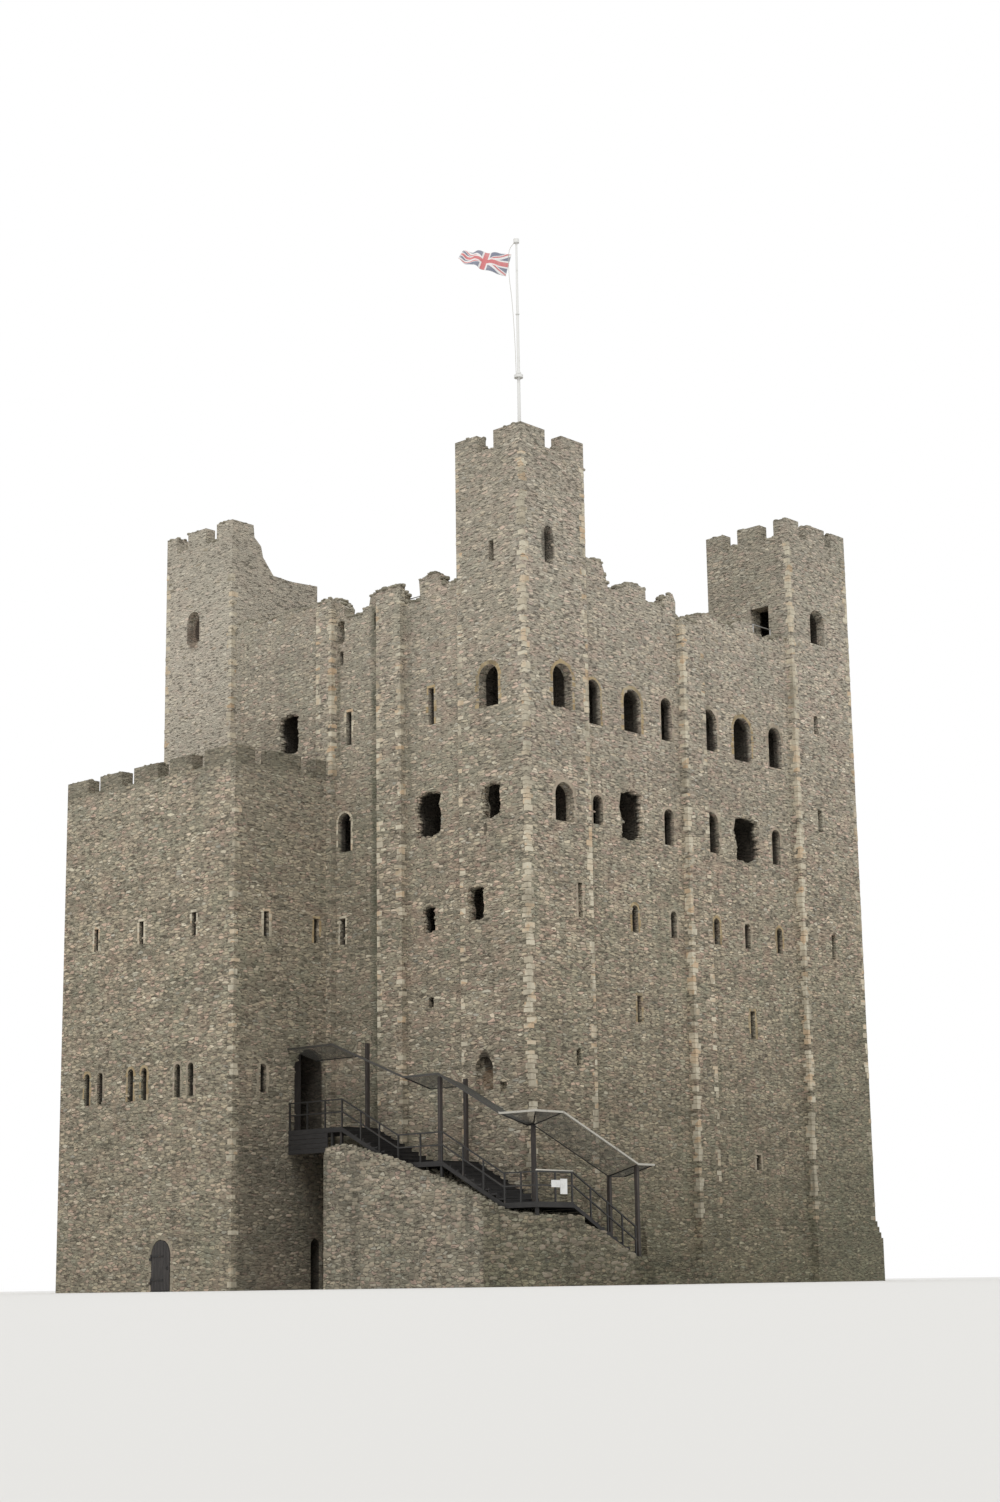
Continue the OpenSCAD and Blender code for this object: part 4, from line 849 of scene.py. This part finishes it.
dressings = [("paleDressings", "pale", "pale_cut"), ("ochreDressings", "ochre", "ochre_cut"),
             ("plainDressings", "field", "field")]
for number, (name, stoneKind, finish) in enumerate(dressings):
    dressWindows(name, stoneKind, finish, dressingFacts, 21 + number)
print("keep: window dressings set")


# rough stones round the rims of the broken openings, whose outline is in shares of width and height
brokenFacts = {"stone": 0.085, "sizes": (0.6, 1.25), "spacing": 0.62, "widen": 1.05, "spread": 0.035,
               "jitter": 0.012, "depth": (0.055, 0.10), "thick": 0.13, "lean": 0.35}
brokenOutline = [(-0.42, 0), (0.1, -0.04), (0.45, 0.05), (0.5, 0.4), (0.43, 0.7), (0.5, 0.92), (0.05, 1.0),
                 (-0.4, 0.94), (-0.5, 0.6), (-0.38, 0.35)]


def brokenRims(name, facts, seed):
    chance = random.Random(seed)
    lumps = fieldStones("rimMaster", 0.12, seed, 3)
    made = []
    for side, out, across, sill, tall, wide, kind, tint in windowList:
        if kind != "broken":
            continue
        for number, (ax, az) in enumerate(brokenOutline):
            bx, bz = brokenOutline[(number + 1) % len(brokenOutline)]
            span = math.hypot((bx - ax) * wide, (bz - az) * tall)
            count = max(2, round(span / (facts["stone"] * facts["spacing"])))
            for index in range(count):
                share = (index + chance.random() * 0.6) / count
                px = across + (ax + (bx - ax) * share) * wide
                pz = sill + (az + (bz - az) * share) * tall
                size = facts["stone"] * chance.uniform(*facts["sizes"])
                push = chance.uniform(-facts["spread"], facts["spread"])
                px = across + (px - across) * (facts["widen"] + push)
                depth = chance.uniform(*facts["depth"])
                pz += chance.uniform(-facts["jitter"], facts["jitter"])
                lean = chance.uniform(-facts["lean"], facts["lean"])
                spot = onSide(side, px, out - depth, pz, (size * 1.2, facts["thick"], size * 0.75), lean)
                made.append(copyTo(lumps[chance.randrange(3)], spot))
    return finishJoined(name, made, "rubble_stone", lumps)


brokenRims("brokenRims", brokenFacts, 31)
print("keep: broken rims set")


# lumps of rubble and mortar along every wall top; step is their distance, sink the share that is sunk in
ruinFacts = {"step": 0.078, "stone": 0.100, "sink": 0.30, "kept": 0.85, "sizes": (0.5, 1.15),
             "flat": (0.45, 0.85), "jitter": 0.02, "start": 0.5, "level": 0.25, "clear": 0.008}
capFacts = {**ruinFacts, "step": 0.100, "stone": 0.088, "sink": 0.46, "kept": 0.55}


def ruinedTop(name, onNodes, low, facts, seed):
    chance = random.Random(seed)
    jitter = facts["jitter"]
    lumps = fieldStones("topMaster", 0.11, seed, 4)
    made = []
    for node in onNodes:
        boxLow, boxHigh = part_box(node)
        shell = shellOf([node])
        x = boxLow[0] + 0.03
        while x < boxHigh[0] - 0.02:
            y = boxLow[1] + 0.03
            while y < boxHigh[1] - 0.02:
                px, py = x + chance.uniform(-jitter, jitter), y + chance.uniform(-jitter, jitter)
                origin = Vector((px, py, boxHigh[2] + facts["start"]))
                met = shell.ray_cast(origin, Vector((0, 0, -1)), origin.z - low)
                # room before a stone would leave the CAD box
                room = min(origin.x - cadBox[0][0], origin.y - cadBox[0][1], cadBox[1][0] - origin.x, 0.2)
                room -= facts["clear"]
                if met[0] and met[1].z > facts["level"] and chance.random() < facts["kept"] and room > 0.02:
                    size = min(facts["stone"] * chance.uniform(*facts["sizes"]), room / 0.82)
                    flat = size * chance.uniform(*facts["flat"])
                    spot = Matrix.Translation(met[0] + Vector((0, 0, flat * (0.5 - facts["sink"]))))
                    spot = spot @ Matrix.Rotation(chance.uniform(0, math.pi), 4, "Z")
                    spot = spot @ Matrix.Diagonal((size * 1.25, size * 0.9, flat, 1))
                    made.append(copyTo(lumps[chance.randrange(4)], spot))
                y += facts["step"]
            x += facts["step"]
    return finishJoined(name, made, "capping", lumps)


ruinPlaces = [  # name, nodes, lowest top, facts
    ("northTopStones", ["north_parapet"], 12.9, ruinFacts),
    ("westTopStones", ["west_parapet"], 12.9, ruinFacts),
    ("southTopStones", ["south_parapet"], 12.9, ruinFacts),
    ("eastTopStones", ["east_parapet"], 12.9, ruinFacts),
    ("northEastTopStones", ["ne_turret_top"], 14.6, capFacts),
    ("turretTopStones", ["nw_turret_top", "sw_turret_top", "se_turret_top"], 15.8, capFacts),
    ("towerTopStones", ["tower_parapet"], 10.05, capFacts),
    ("oldStairTopStones", ["old_stair_base"], 0.3, capFacts),
]
for number, (name, onNodes, low, facts) in enumerate(ruinPlaces):
    ruinedTop(name, onNodes, low, facts, 41 + number)
print("keep: ruined tops laid")


keepShell = [
    "nw_turret", "ne_turret", "sw_turret", "se_turret", "north_wall", "west_wall", "south_wall", "east_wall",
    "nw_turret_top", "ne_turret_top", "sw_turret_top", "se_turret_top", "north_parapet", "west_parapet",
    "south_parapet", "east_parapet"]
towerShell = ["tower_wall_beside_door", "tower_wall_east_part", "tower_wall_over_door", "tower_west_wall",
              "tower_east_wall", "tower_parapet"]
baseShell = ["old_stair_base"]
keepPlanes = (5.175, 5.325)  # distances of the wall faces and of the pilasters and turrets
# stones that stand out of the faces: name, nodes, tries, side, spread, heights, planes, finish, size
proudPlaces = [
    ("northStones", keepShell, 1500, 0, (-5.25, 5.25), (1.5, 15.9), keepPlanes, "rubble_stone", 0.10),
    ("westStones", keepShell, 1500, 1, (-5.25, 5.25), (1.5, 15.9), keepPlanes, "rubble_stone", 0.10),
    ("southStones", keepShell, 420, 2, (-5.25, 5.25), (1.5, 15.9), keepPlanes, "rubble_stone", 0.10),
    ("eastStones", keepShell, 420, 3, (-5.25, 5.25), (1.5, 15.9), keepPlanes, "rubble_stone", 0.10),
    ("towerNorthStones", towerShell, 900, 0, (-5.39, -0.26), (0.2, 10.2), (7.715,), "dark_stone", 0.10),
    ("towerWestStones", towerShell, 450, 1, (-7.65, -5.3), (0.2, 10.2), (-0.15,), "dark_stone", 0.10),
    ("oldStairStones", baseShell, 500, 0, (1.05, 6.35), (0.1, 2.6), (6.4,), "base_stone", 0.15),
    ("oldStairWestStones", baseShell, 250, 1, (-6.35, -3.7), (0.1, 1.4), (6.4,), "base_stone", 0.15),
]
proudFacts = {"wide": (0.7, 1.6), "tall": (0.32, 0.62), "proud": (0.004, 0.011), "lean": 0.12, "start": -9.0,
              "reach": 12.0, "offPlane": 0.01, "deep": 0.04}


def proudStones(name, onNodes, count, side, spread, heights, planes, finish, size, facts, seed):
    chance = random.Random(seed)
    shell = shellOf(onNodes)
    lumps = fieldStones("proudMaster", 0.10, seed, 4)
    turn = Matrix.Rotation(math.pi / 2 * side, 3, "Z")
    inward = turn @ Vector((0, 1, 0))
    made = []
    for number in range(count):
        across, z = chance.uniform(*spread), chance.uniform(*heights)
        met = shell.ray_cast(turn @ Vector((across, facts["start"], z)), inward, facts["reach"])
        if not met[0] or met[1].dot(inward) > -0.95:
            continue
        out = -(turn.transposed() @ met[0]).y
        if min(abs(out - plane) for plane in planes) > facts["offPlane"]:
            continue
        wide = size * chance.uniform(*facts["wide"])
        tall = size * chance.uniform(*facts["tall"])
        proud = chance.uniform(*facts["proud"])
        lean = chance.uniform(-facts["lean"], facts["lean"])
        spot = onSide(side, across, out - facts["deep"] / 2 + proud, z, (wide, facts["deep"], tall), lean)
        made.append(copyTo(lumps[chance.randrange(4)], spot))
    share = len(made) * 2 // 3  # the rest is of paler stone
    finishJoined(name, made[:share], finish)
    finishJoined(name + "Other", made[share:], "field", lumps)


for number, place in enumerate(proudPlaces):
    proudStones(*place, proudFacts, 51 + number)
print("keep: proud stones set")


# the canopy's wire net; below, places along the stair and heights of its outer edge
netFacts = {"wire": 0.0036, "cross": 0.024, "threads": 21, "frame": 0.020, "drop": 0.012, "tilt": 0.175,
            "outer": 6.296, "inner": 5.604, "low": 3.002, "turn": -5.600}
canopyX = [(-0.140, 4.552), (1.110, 4.552), (3.030, 3.802), (3.940, 3.802), (5.460, 3.002)]
canopyY = [(-5.600, 3.002), (-3.580, 2.142), (-3.130, 2.142)]


def longBar(name, ease=0.22):
    # a unit bar along X, its four long edges eased
    bar = addBlock(name, (-0.5, -0.5, -0.5), (0.5, 0.5, 0.5))
    alone(bar)
    bpy.ops.object.mode_set(mode="EDIT")
    bpy.ops.mesh.select_mode(type="EDGE")
    bpy.ops.mesh.select_all(action="DESELECT")
    bpy.ops.object.mode_set(mode="OBJECT")
    for edge in bar.data.edges:
        first, second = [bar.data.vertices[index].co for index in edge.vertices]
        edge.select = abs(first.x - second.x) > 0.5
    bpy.ops.object.mode_set(mode="EDIT")
    bpy.ops.mesh.bevel(offset=ease, segments=1, affect="EDGES")
    bpy.ops.object.mode_set(mode="OBJECT")
    return bar


def netStretches(facts):
    # pairs of outer and inner edge, each from its start to its end
    out, inn, low, tilt = facts["outer"], facts["inner"], facts["low"], facts["tilt"]
    north = [((x, -out, z), (x, -inn, z - tilt)) for x, z in canopyX]
    west = [((out, y, z), (inn, y, z - tilt)) for y, z in canopyY]
    corner, inner = (out, -out, low), (inn, -inn, low - tilt)
    stretches = list(zip(north, north[1:])) + list(zip(west, west[1:]))
    stretches.append((north[-1], (corner, inner)))
    stretches.append(((corner, corner), ((out, facts["turn"], low), inner)))
    return stretches


def wireNet(name, facts):
    bar = longBar("wireMaster")
    down = Vector((0, 0, facts["drop"]))
    wires, frames = [], []
    for (outA, inA), (outB, inB) in netStretches(facts):
        outA, inA, outB, inB = Vector(outA), Vector(inA), Vector(outB), Vector(inB)
        count = max(2, round((outB - outA).length / facts["cross"]))
        shares = [number / count for number in range(count + 1)]
        lines = [(outA.lerp(outB, share), inA.lerp(inB, share)) for share in shares]
        shares = [number / facts["threads"] for number in range(1, facts["threads"])]
        lines += [(outA.lerp(inA, share), outB.lerp(inB, share)) for share in shares]
        wires += [barBetween(bar, start, end, facts["wire"]) for start, end in lines
                  if (end - start).length > 0.02]
        if (inB - inA).length > 0.02:
            frames.append(barBetween(bar, inA - down, inB - down, facts["frame"]))
        frames.append(barBetween(bar, outB - down, inB - down, facts["frame"]))
    net = finishJoined(name, wires, "meshWire")
    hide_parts("canopy_mesh")
    finishJoined("canopyFrame", frames, "darkSteel", [bar])


wireNet("canopyNet", netFacts)
print("keep: canopy net stretched")


# boards of the stair; each flight is its first step's place, foot, head, treads and going
stairFacts = {"fasciaEnds": (-0.148, 0.955), "fasciaY": -6.288, "fasciaTop": 2.893, "fasciaBoards": 4,
              "fasciaThick": 0.020, "board": 0.092, "riser": 0.012, "nosing": (0.030, 0.008),
              "plank": (0.104, 0.008), "laid": 0.113, "landingEdges": (-6.265, -5.36),
              "northEdges": (-6.268, -5.372), "westEdges": (5.372, 6.268),
              "northFlights": [(2.85, 2.235, 2.985, 8, 0.1875), (5.5, 1.435, 2.235, 8, 0.1875)],
              "westFlights": [(-3.64, 0.5, 1.435, 10, 0.17)],
              "landings": [(-0.145, 1.335, 2.985), (2.865, 3.985, 2.235), (5.515, 6.27, 1.435)]}


def flightBoards(bar, flight, edges, alongX, facts):
    # a riser and a nosing for each step of one flight
    start, low, high, count, going = flight
    rise = (high - low) / (count + 1)
    made = []
    for number in range(count + 1):
        place, z = start - number * going, low + (number + 1) * rise
        for back, level, wide, tall in ((0.010, z - rise / 2 - 0.015, facts["riser"], rise - 0.034),
                                        (0.004, z + 0.002, *facts["nosing"])):
            ends = [(place - back, edge, level) if alongX else (edge, place - back, level) for edge in edges]
            made.append(barBetween(bar, *ends, wide, tall))
    return made


def stairBoards(name, facts):
    bar = longBar("boardMaster", 0.08)
    made = []
    z = facts["fasciaTop"]  # on the north side of the top landing
    for number in range(facts["fasciaBoards"]):
        ends = [(x, facts["fasciaY"], z - facts["board"] / 2) for x in facts["fasciaEnds"]]
        made.append(barBetween(bar, *ends, facts["fasciaThick"], facts["board"] * 0.94))
        z -= facts["board"]
    for flight in facts["northFlights"]:
        made += flightBoards(bar, flight, facts["northEdges"], True, facts)
    for flight in facts["westFlights"]:
        made += flightBoards(bar, flight, facts["westEdges"], False, facts)
    for left, right, z in facts["landings"]:
        y, last = facts["landingEdges"]
        while y < last:
            ends = [(x, y + facts["plank"][0] / 2, z + 0.003) for x in (left, right)]
            made.append(barBetween(bar, *ends, *facts["plank"]))
            y += facts["laid"]
    return finishJoined(name, made, "stairOak", [bar])


stairBoards("stairBoards", stairFacts)


# rails and slats at the turn of the stair; guard rails on the wall walk; blank boards
railFacts = {"tube": 0.030, "slat": 0.007, "slats": 6, "low": 1.435, "high": 1.955, "out": 6.287, "over": 0.024,
             "rail": (-6.300, -5.340), "westSlat": (-6.290, -5.350), "northSlat": (5.510, 6.290)}
guardRails = [((-0.35, -4.82, 13.52), (3.55, -4.82, 13.52), 0.022),
              ((-0.35, -4.82, 13.20), (3.55, -4.82, 13.20), 0.018),
              ((4.80, 1.85, 13.80), (4.80, 3.19, 13.80), 0.022),
              ((4.80, 1.85, 13.45), (4.80, 3.19, 13.45), 0.018)]
guardRails += [((x, -4.82, 12.735), (x, -4.82, 13.53), 0.024) for x in (-0.30, 0.65, 1.60, 2.55, 3.50)]
guardRails += [((4.80, y, 12.735), (4.80, y, 13.81), 0.024) for y in (1.90, 2.55, 3.15)]
boardPlaces = [((6.302, -5.930, 1.690), (6.312, -5.705, 1.815)),
               ((6.302, -5.698, 1.575), (6.312, -5.520, 1.840))]


def tubeMaster(name, sides=10):
    # a unit tube along X with closed, eased ends
    tube = fromShape(bpy.ops.mesh.primitive_cylinder_add, vertices=sides, radius=0.5, depth=1,
                     rotation=(0, math.pi / 2, 0))
    tube.name = name
    insetFaces(tube, lambda centre, normal: abs(normal.x) > 0.9, 0.12)
    tube.data.shade_smooth()
    return tube


def turnRails(facts):
    tube = tubeMaster("tubeMaster")
    out = facts["out"]
    ends = [(out, y, facts["high"] + facts["over"]) for y in facts["rail"]]
    finishJoined("paleTopRail", [barBetween(tube, *ends, facts["tube"])], "paleEdge")
    slats = []
    for number in range(facts["slats"]):
        z = facts["low"] + (number + 0.7) * (facts["high"] - facts["low"]) / (facts["slats"] + 0.6)
        slats.append(barBetween(tube, *[(out, y, z) for y in facts["westSlat"]], facts["slat"]))
        slats.append(barBetween(tube, *[(x, -out, z) for x in facts["northSlat"]], facts["slat"]))
    finishJoined("railSlats", slats, "darkSteel")
    guard = [barBetween(tube, *ends) for ends in guardRails]
    finishJoined("walkGuardRails", guard, "paleSteel", [tube])


def blankBoards(name):
    made = []
    for low, high in boardPlaces:
        board = addBlock("board", low, high)
        made.append(insetFaces(board, lambda centre, normal: normal.x > 0.9, 0.009, (-0.003, 0, 0)))
    return finishJoined(name, made, "boardWhite")


turnRails(railFacts)
blankBoards("blankBoards")
print("keep: stair boards, rails and blank boards set")


# foot plates of the canopy's posts, with half sizes of post and plate, and where each stands
postFacts = {"half": 0.033, "plate": 0.055, "thick": 0.010, "bolt": 0.008}
postFeet = [(1.290, -5.567, 2.985), (3.860, -6.197, 2.235), (3.900, -5.567, 2.235), (5.567, -5.567, 1.435),
            (5.567, -3.520, 0.5), (6.227, -3.520, 0.5)]


def postPlates(name, facts):
    made = []
    upward = lambda centre, normal: normal.z > 0.9
    half = facts["plate"]
    for x, y, z in postFeet:
        plate = addBlock("plate", (x - half, y - half, z), (x + half, y + half, z + facts["thick"]))
        made.append(insetFaces(plate, upward, half - facts["half"] - 0.004, (0, 0, 0.006)))
        for wayX in (-1, 1):
            for wayY in (-1, 1):
                place = (x + wayX * half * 0.82, y + wayY * half * 0.82, z + facts["thick"] + 0.003)
                bolt = fromShape(bpy.ops.mesh.primitive_cylinder_add, vertices=6, radius=facts["bolt"],
                                 depth=0.008, location=place)
                made.append(insetFaces(bolt, upward, 0.002))
    return finishJoined(name, made, "darkSteel")


postPlates("postPlates", postFacts)


# the ground door: planks cut to the arch, straps, studs and a ring
doorFacts = {"middle": -2.210, "width": 0.546, "low": 0.016, "spring": 0.685, "planks": 6, "proud": 0.007,
             "face": -7.715, "gap": 0.0015}
ironFacts = {"straps": (0.218, 0.668), "ends": (-2.480, -2.120), "strap": (0.007, 0.030), "strapOut": 0.0155,
             "studs": 5, "firstStud": -2.440, "studStep": 0.072, "studOut": 0.0195, "ring": (-2.005, 0.435),
             "ringRadius": 0.026, "ringOut": 0.016}


def archPlanks(name, facts):
    made = []
    middle, face, radius = facts["middle"], facts["face"], facts["width"] / 2
    step = facts["width"] / facts["planks"]
    for number in range(facts["planks"]):
        left = -radius + number * step + facts["gap"]
        right = left + step - 2 * facts["gap"]
        high = facts["spring"] + radius + 0.02
        plank = addBlock("plank", (middle + left, face - facts["proud"], facts["low"]),
                         (middle + right, face + 0.004, high))
        tops = [facts["spring"] + math.sqrt(max(0.0, radius ** 2 - side ** 2)) for side in (left, right)]
        tilt = Vector((tops[0] - tops[1], 0, right - left)).normalized()
        pickFaces(plank, lambda centre, normal: True)
        bpy.ops.mesh.bisect(plane_co=(middle + left, face, tops[0]), plane_no=tilt, use_fill=True,
                            clear_outer=True)
        bpy.ops.object.mode_set(mode="OBJECT")
        made.append(insetFaces(plank, lambda centre, normal: normal.y < -0.9, 0.0035, (0, -0.0025, 0)))
    return finishJoined(name, made, "doorOak", body="door_leaf")


def doorIron(name, facts, face):
    strap = longBar("strapMaster", 0.10)
    outward = lambda centre, normal: normal.y < -0.9
    made = []
    upright = (math.pi / 2, 0, 0)
    for z in facts["straps"]:
        ends = [(x, face - facts["strapOut"], z) for x in facts["ends"]]
        made.append(barBetween(strap, *ends, *facts["strap"]))
        for number in range(facts["studs"]):
            place = (facts["firstStud"] + number * facts["studStep"], face - facts["studOut"], z)
            stud = fromShape(bpy.ops.mesh.primitive_cone_add, vertices=8, radius1=0.009, radius2=0.004,
                             depth=0.007, location=place, rotation=upright)
            made.append(insetFaces(stud, outward, 0.0012))
    x, z = facts["ring"]
    ring = fromShape(bpy.ops.mesh.primitive_torus_add, major_radius=facts["ringRadius"], minor_radius=0.0042,
                     major_segments=24, minor_segments=8, location=(x, face - facts["ringOut"], z),
                     rotation=upright)
    pickFaces(ring, lambda centre, normal: centre.z < z - 0.005)
    bpy.ops.transform.resize(value=(1.12, 1, 1.0), center_override=(x, face, z))
    bpy.ops.object.mode_set(mode="OBJECT")
    made.append(ring)
    rose = addBlock("rose", (x - 0.020, face - 0.0125, z + 0.008), (x + 0.020, face - 0.006, z + 0.048))
    made.append(insetFaces(rose, outward, 0.006, (0, -0.004, 0)))
    return finishJoined(name, made, "blackIron", [strap], "door_leaf")


archPlanks("doorPlanks", doorFacts)
doorIron("doorIron", ironFacts, doorFacts["face"])


# the flagpole's head, and its bands: height, radius, thickness
poleFacts = {"place": (4.47, -4.4125), "head": 20.520, "neck": 20.505, "radius": 0.030,
             "bands": [(17.70, 0.052, 0.03), (16.60, 0.050, 0.05), (18.95, 0.037, 0.02)]}


def poleFittings(name, facts):
    ball = fromShape(bpy.ops.mesh.primitive_uv_sphere_add, segments=20, ring_count=10, radius=facts["radius"],
                     location=(*facts["place"], facts["head"]))
    pickFaces(ball, lambda centre, normal: centre.z < facts["neck"])
    bpy.ops.transform.resize(value=(1.25, 1.25, 0.6), center_override=(*facts["place"], facts["neck"]))
    bpy.ops.object.mode_set(mode="OBJECT")
    ball.data.shade_smooth()
    made = [ball]
    for z, radius, tall in facts["bands"]:
        band = fromShape(bpy.ops.mesh.primitive_cylinder_add, vertices=24, radius=radius, depth=tall,
                         location=(*facts["place"], z))
        made.append(insetFaces(band, lambda centre, normal: abs(normal.z) > 0.9, 0.006))
    return finishJoined(name, made, "poleWhite")


poleFittings("poleFittings", poleFacts)
print("keep: door and pole fittings set")


# the flag, blown out from the pole: each fold is its share of the length, its push and its lean
flagFacts = {"length": 1.04, "height": 0.48, "take": 0.955, "twist": 44.0, "rise": 15.0, "heading": 220.0,
             "hoist": (4.4332, -4.4434, 20.003), "off": 0.115, "thick": 0.003,
             "folds": [(0.16, 0.010, 0.4), (0.32, -0.020, 0.3), (0.49, 0.028, -0.2), (0.66, -0.034, 0.3),
                       (0.83, 0.036, -0.3), (0.99, -0.030, 0.2)]}


def flyFlag(name, facts):
    bpy.ops.object.select_all(action="DESELECT")
    bpy.ops.mesh.primitive_grid_add(x_subdivisions=64, y_subdivisions=28, size=1)
    flag = bpy.context.object
    flag.name = name
    reach = facts["length"] * facts["take"]
    flag.scale = (reach, facts["height"], 1)
    flag.location = (0.5 * reach, 0, 0)
    settle(flag)
    # folds that run slantwise across the cloth, deeper towards the fly
    for share, push, lean in facts["folds"]:
        pickFaces(flag, lambda centre, normal: abs(centre.x - share * reach - lean * centre.y * 0.4)
                  < reach * 0.012)
        bpy.ops.transform.translate(value=(0, 0, push), use_proportional_edit=True,
                                    proportional_edit_falloff="SMOOTH", proportional_size=reach * 0.115)
        bpy.ops.object.mode_set(mode="OBJECT")
    # the fly is turned out of the upright, and the cloth is lifted by the wind
    alone(flag)
    twist = flag.modifiers.new("twist", "SIMPLE_DEFORM")
    twist.deform_method = "TWIST"
    twist.deform_axis = "X"
    twist.angle = math.radians(facts["twist"])
    bpy.ops.object.modifier_apply(modifier=twist.name)
    thick = flag.modifiers.new("cloth", "SOLIDIFY")
    thick.thickness = facts["thick"]
    thick.offset = 0.0
    bpy.ops.object.modifier_apply(modifier=thick.name)
    heading, rise = math.radians(facts["heading"]), math.radians(facts["rise"])
    along = Vector((math.cos(heading) * math.cos(rise), math.sin(heading) * math.cos(rise), math.sin(rise)))
    side = Vector((math.sin(heading), -math.cos(heading), 0))
    up = side.cross(along)
    up = -up if up.z < 0 else up
    spot = Matrix((along, up, along.cross(up))).transposed().to_4x4()
    away = Vector((math.cos(heading), math.sin(heading), 0)) * facts["off"]
    spot.translation = Vector(facts["hoist"]) + away
    flag.matrix_world = spot
    settle(flag)
    flag.data.shade_smooth()
    return finishPiece(flag, "bunting")


flag = flyFlag("crossedFlag", flagFacts)
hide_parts("flag")


# the halyard, bowed out where the flag pulls it
ropePath = [
    (4.4332, -4.4434, 20.480), (4.378, -4.490, 20.380), (4.350, -4.513, 20.250), (4.347, -4.516, 20.000),
    (4.352, -4.511, 19.760), (4.385, -4.484, 19.300), (4.412, -4.461, 18.700), (4.428, -4.448, 18.100),
    (4.4332, -4.4434, 17.664)]


def hangHalyard(name, path):
    bpy.ops.object.select_all(action="DESELECT")
    bpy.ops.curve.primitive_bezier_curve_add()
    rope = bpy.context.object
    rope.name = name
    bpy.ops.object.mode_set(mode="EDIT")
    bpy.ops.curve.select_all(action="SELECT")
    bpy.ops.curve.delete(type="VERT")
    bpy.ops.object.mode_set(mode="OBJECT")
    line = rope.data.splines.new("BEZIER")
    line.bezier_points.add(len(path) - 1)
    for point, place in zip(line.bezier_points, path):
        point.co = place
        point.handle_left_type = point.handle_right_type = "AUTO"
    rope.location = (0, 0, 0)
    rope.data.dimensions = "3D"
    rope.data.resolution_u = 10
    rope.data.bevel_depth = 0.005  # half the rope's thickness
    rope.data.bevel_resolution = 3
    rope.data.use_fill_caps = True
    return finishPiece(rope, "rope")


rope = hangHalyard("halyardRope", ropePath)
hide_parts("halyard")
ropeLength = sum((Vector(b) - Vector(a)).length for a, b in zip(ropePath, ropePath[1:]))
ropeLength + 0.004
print("keep: flag and halyard hung")
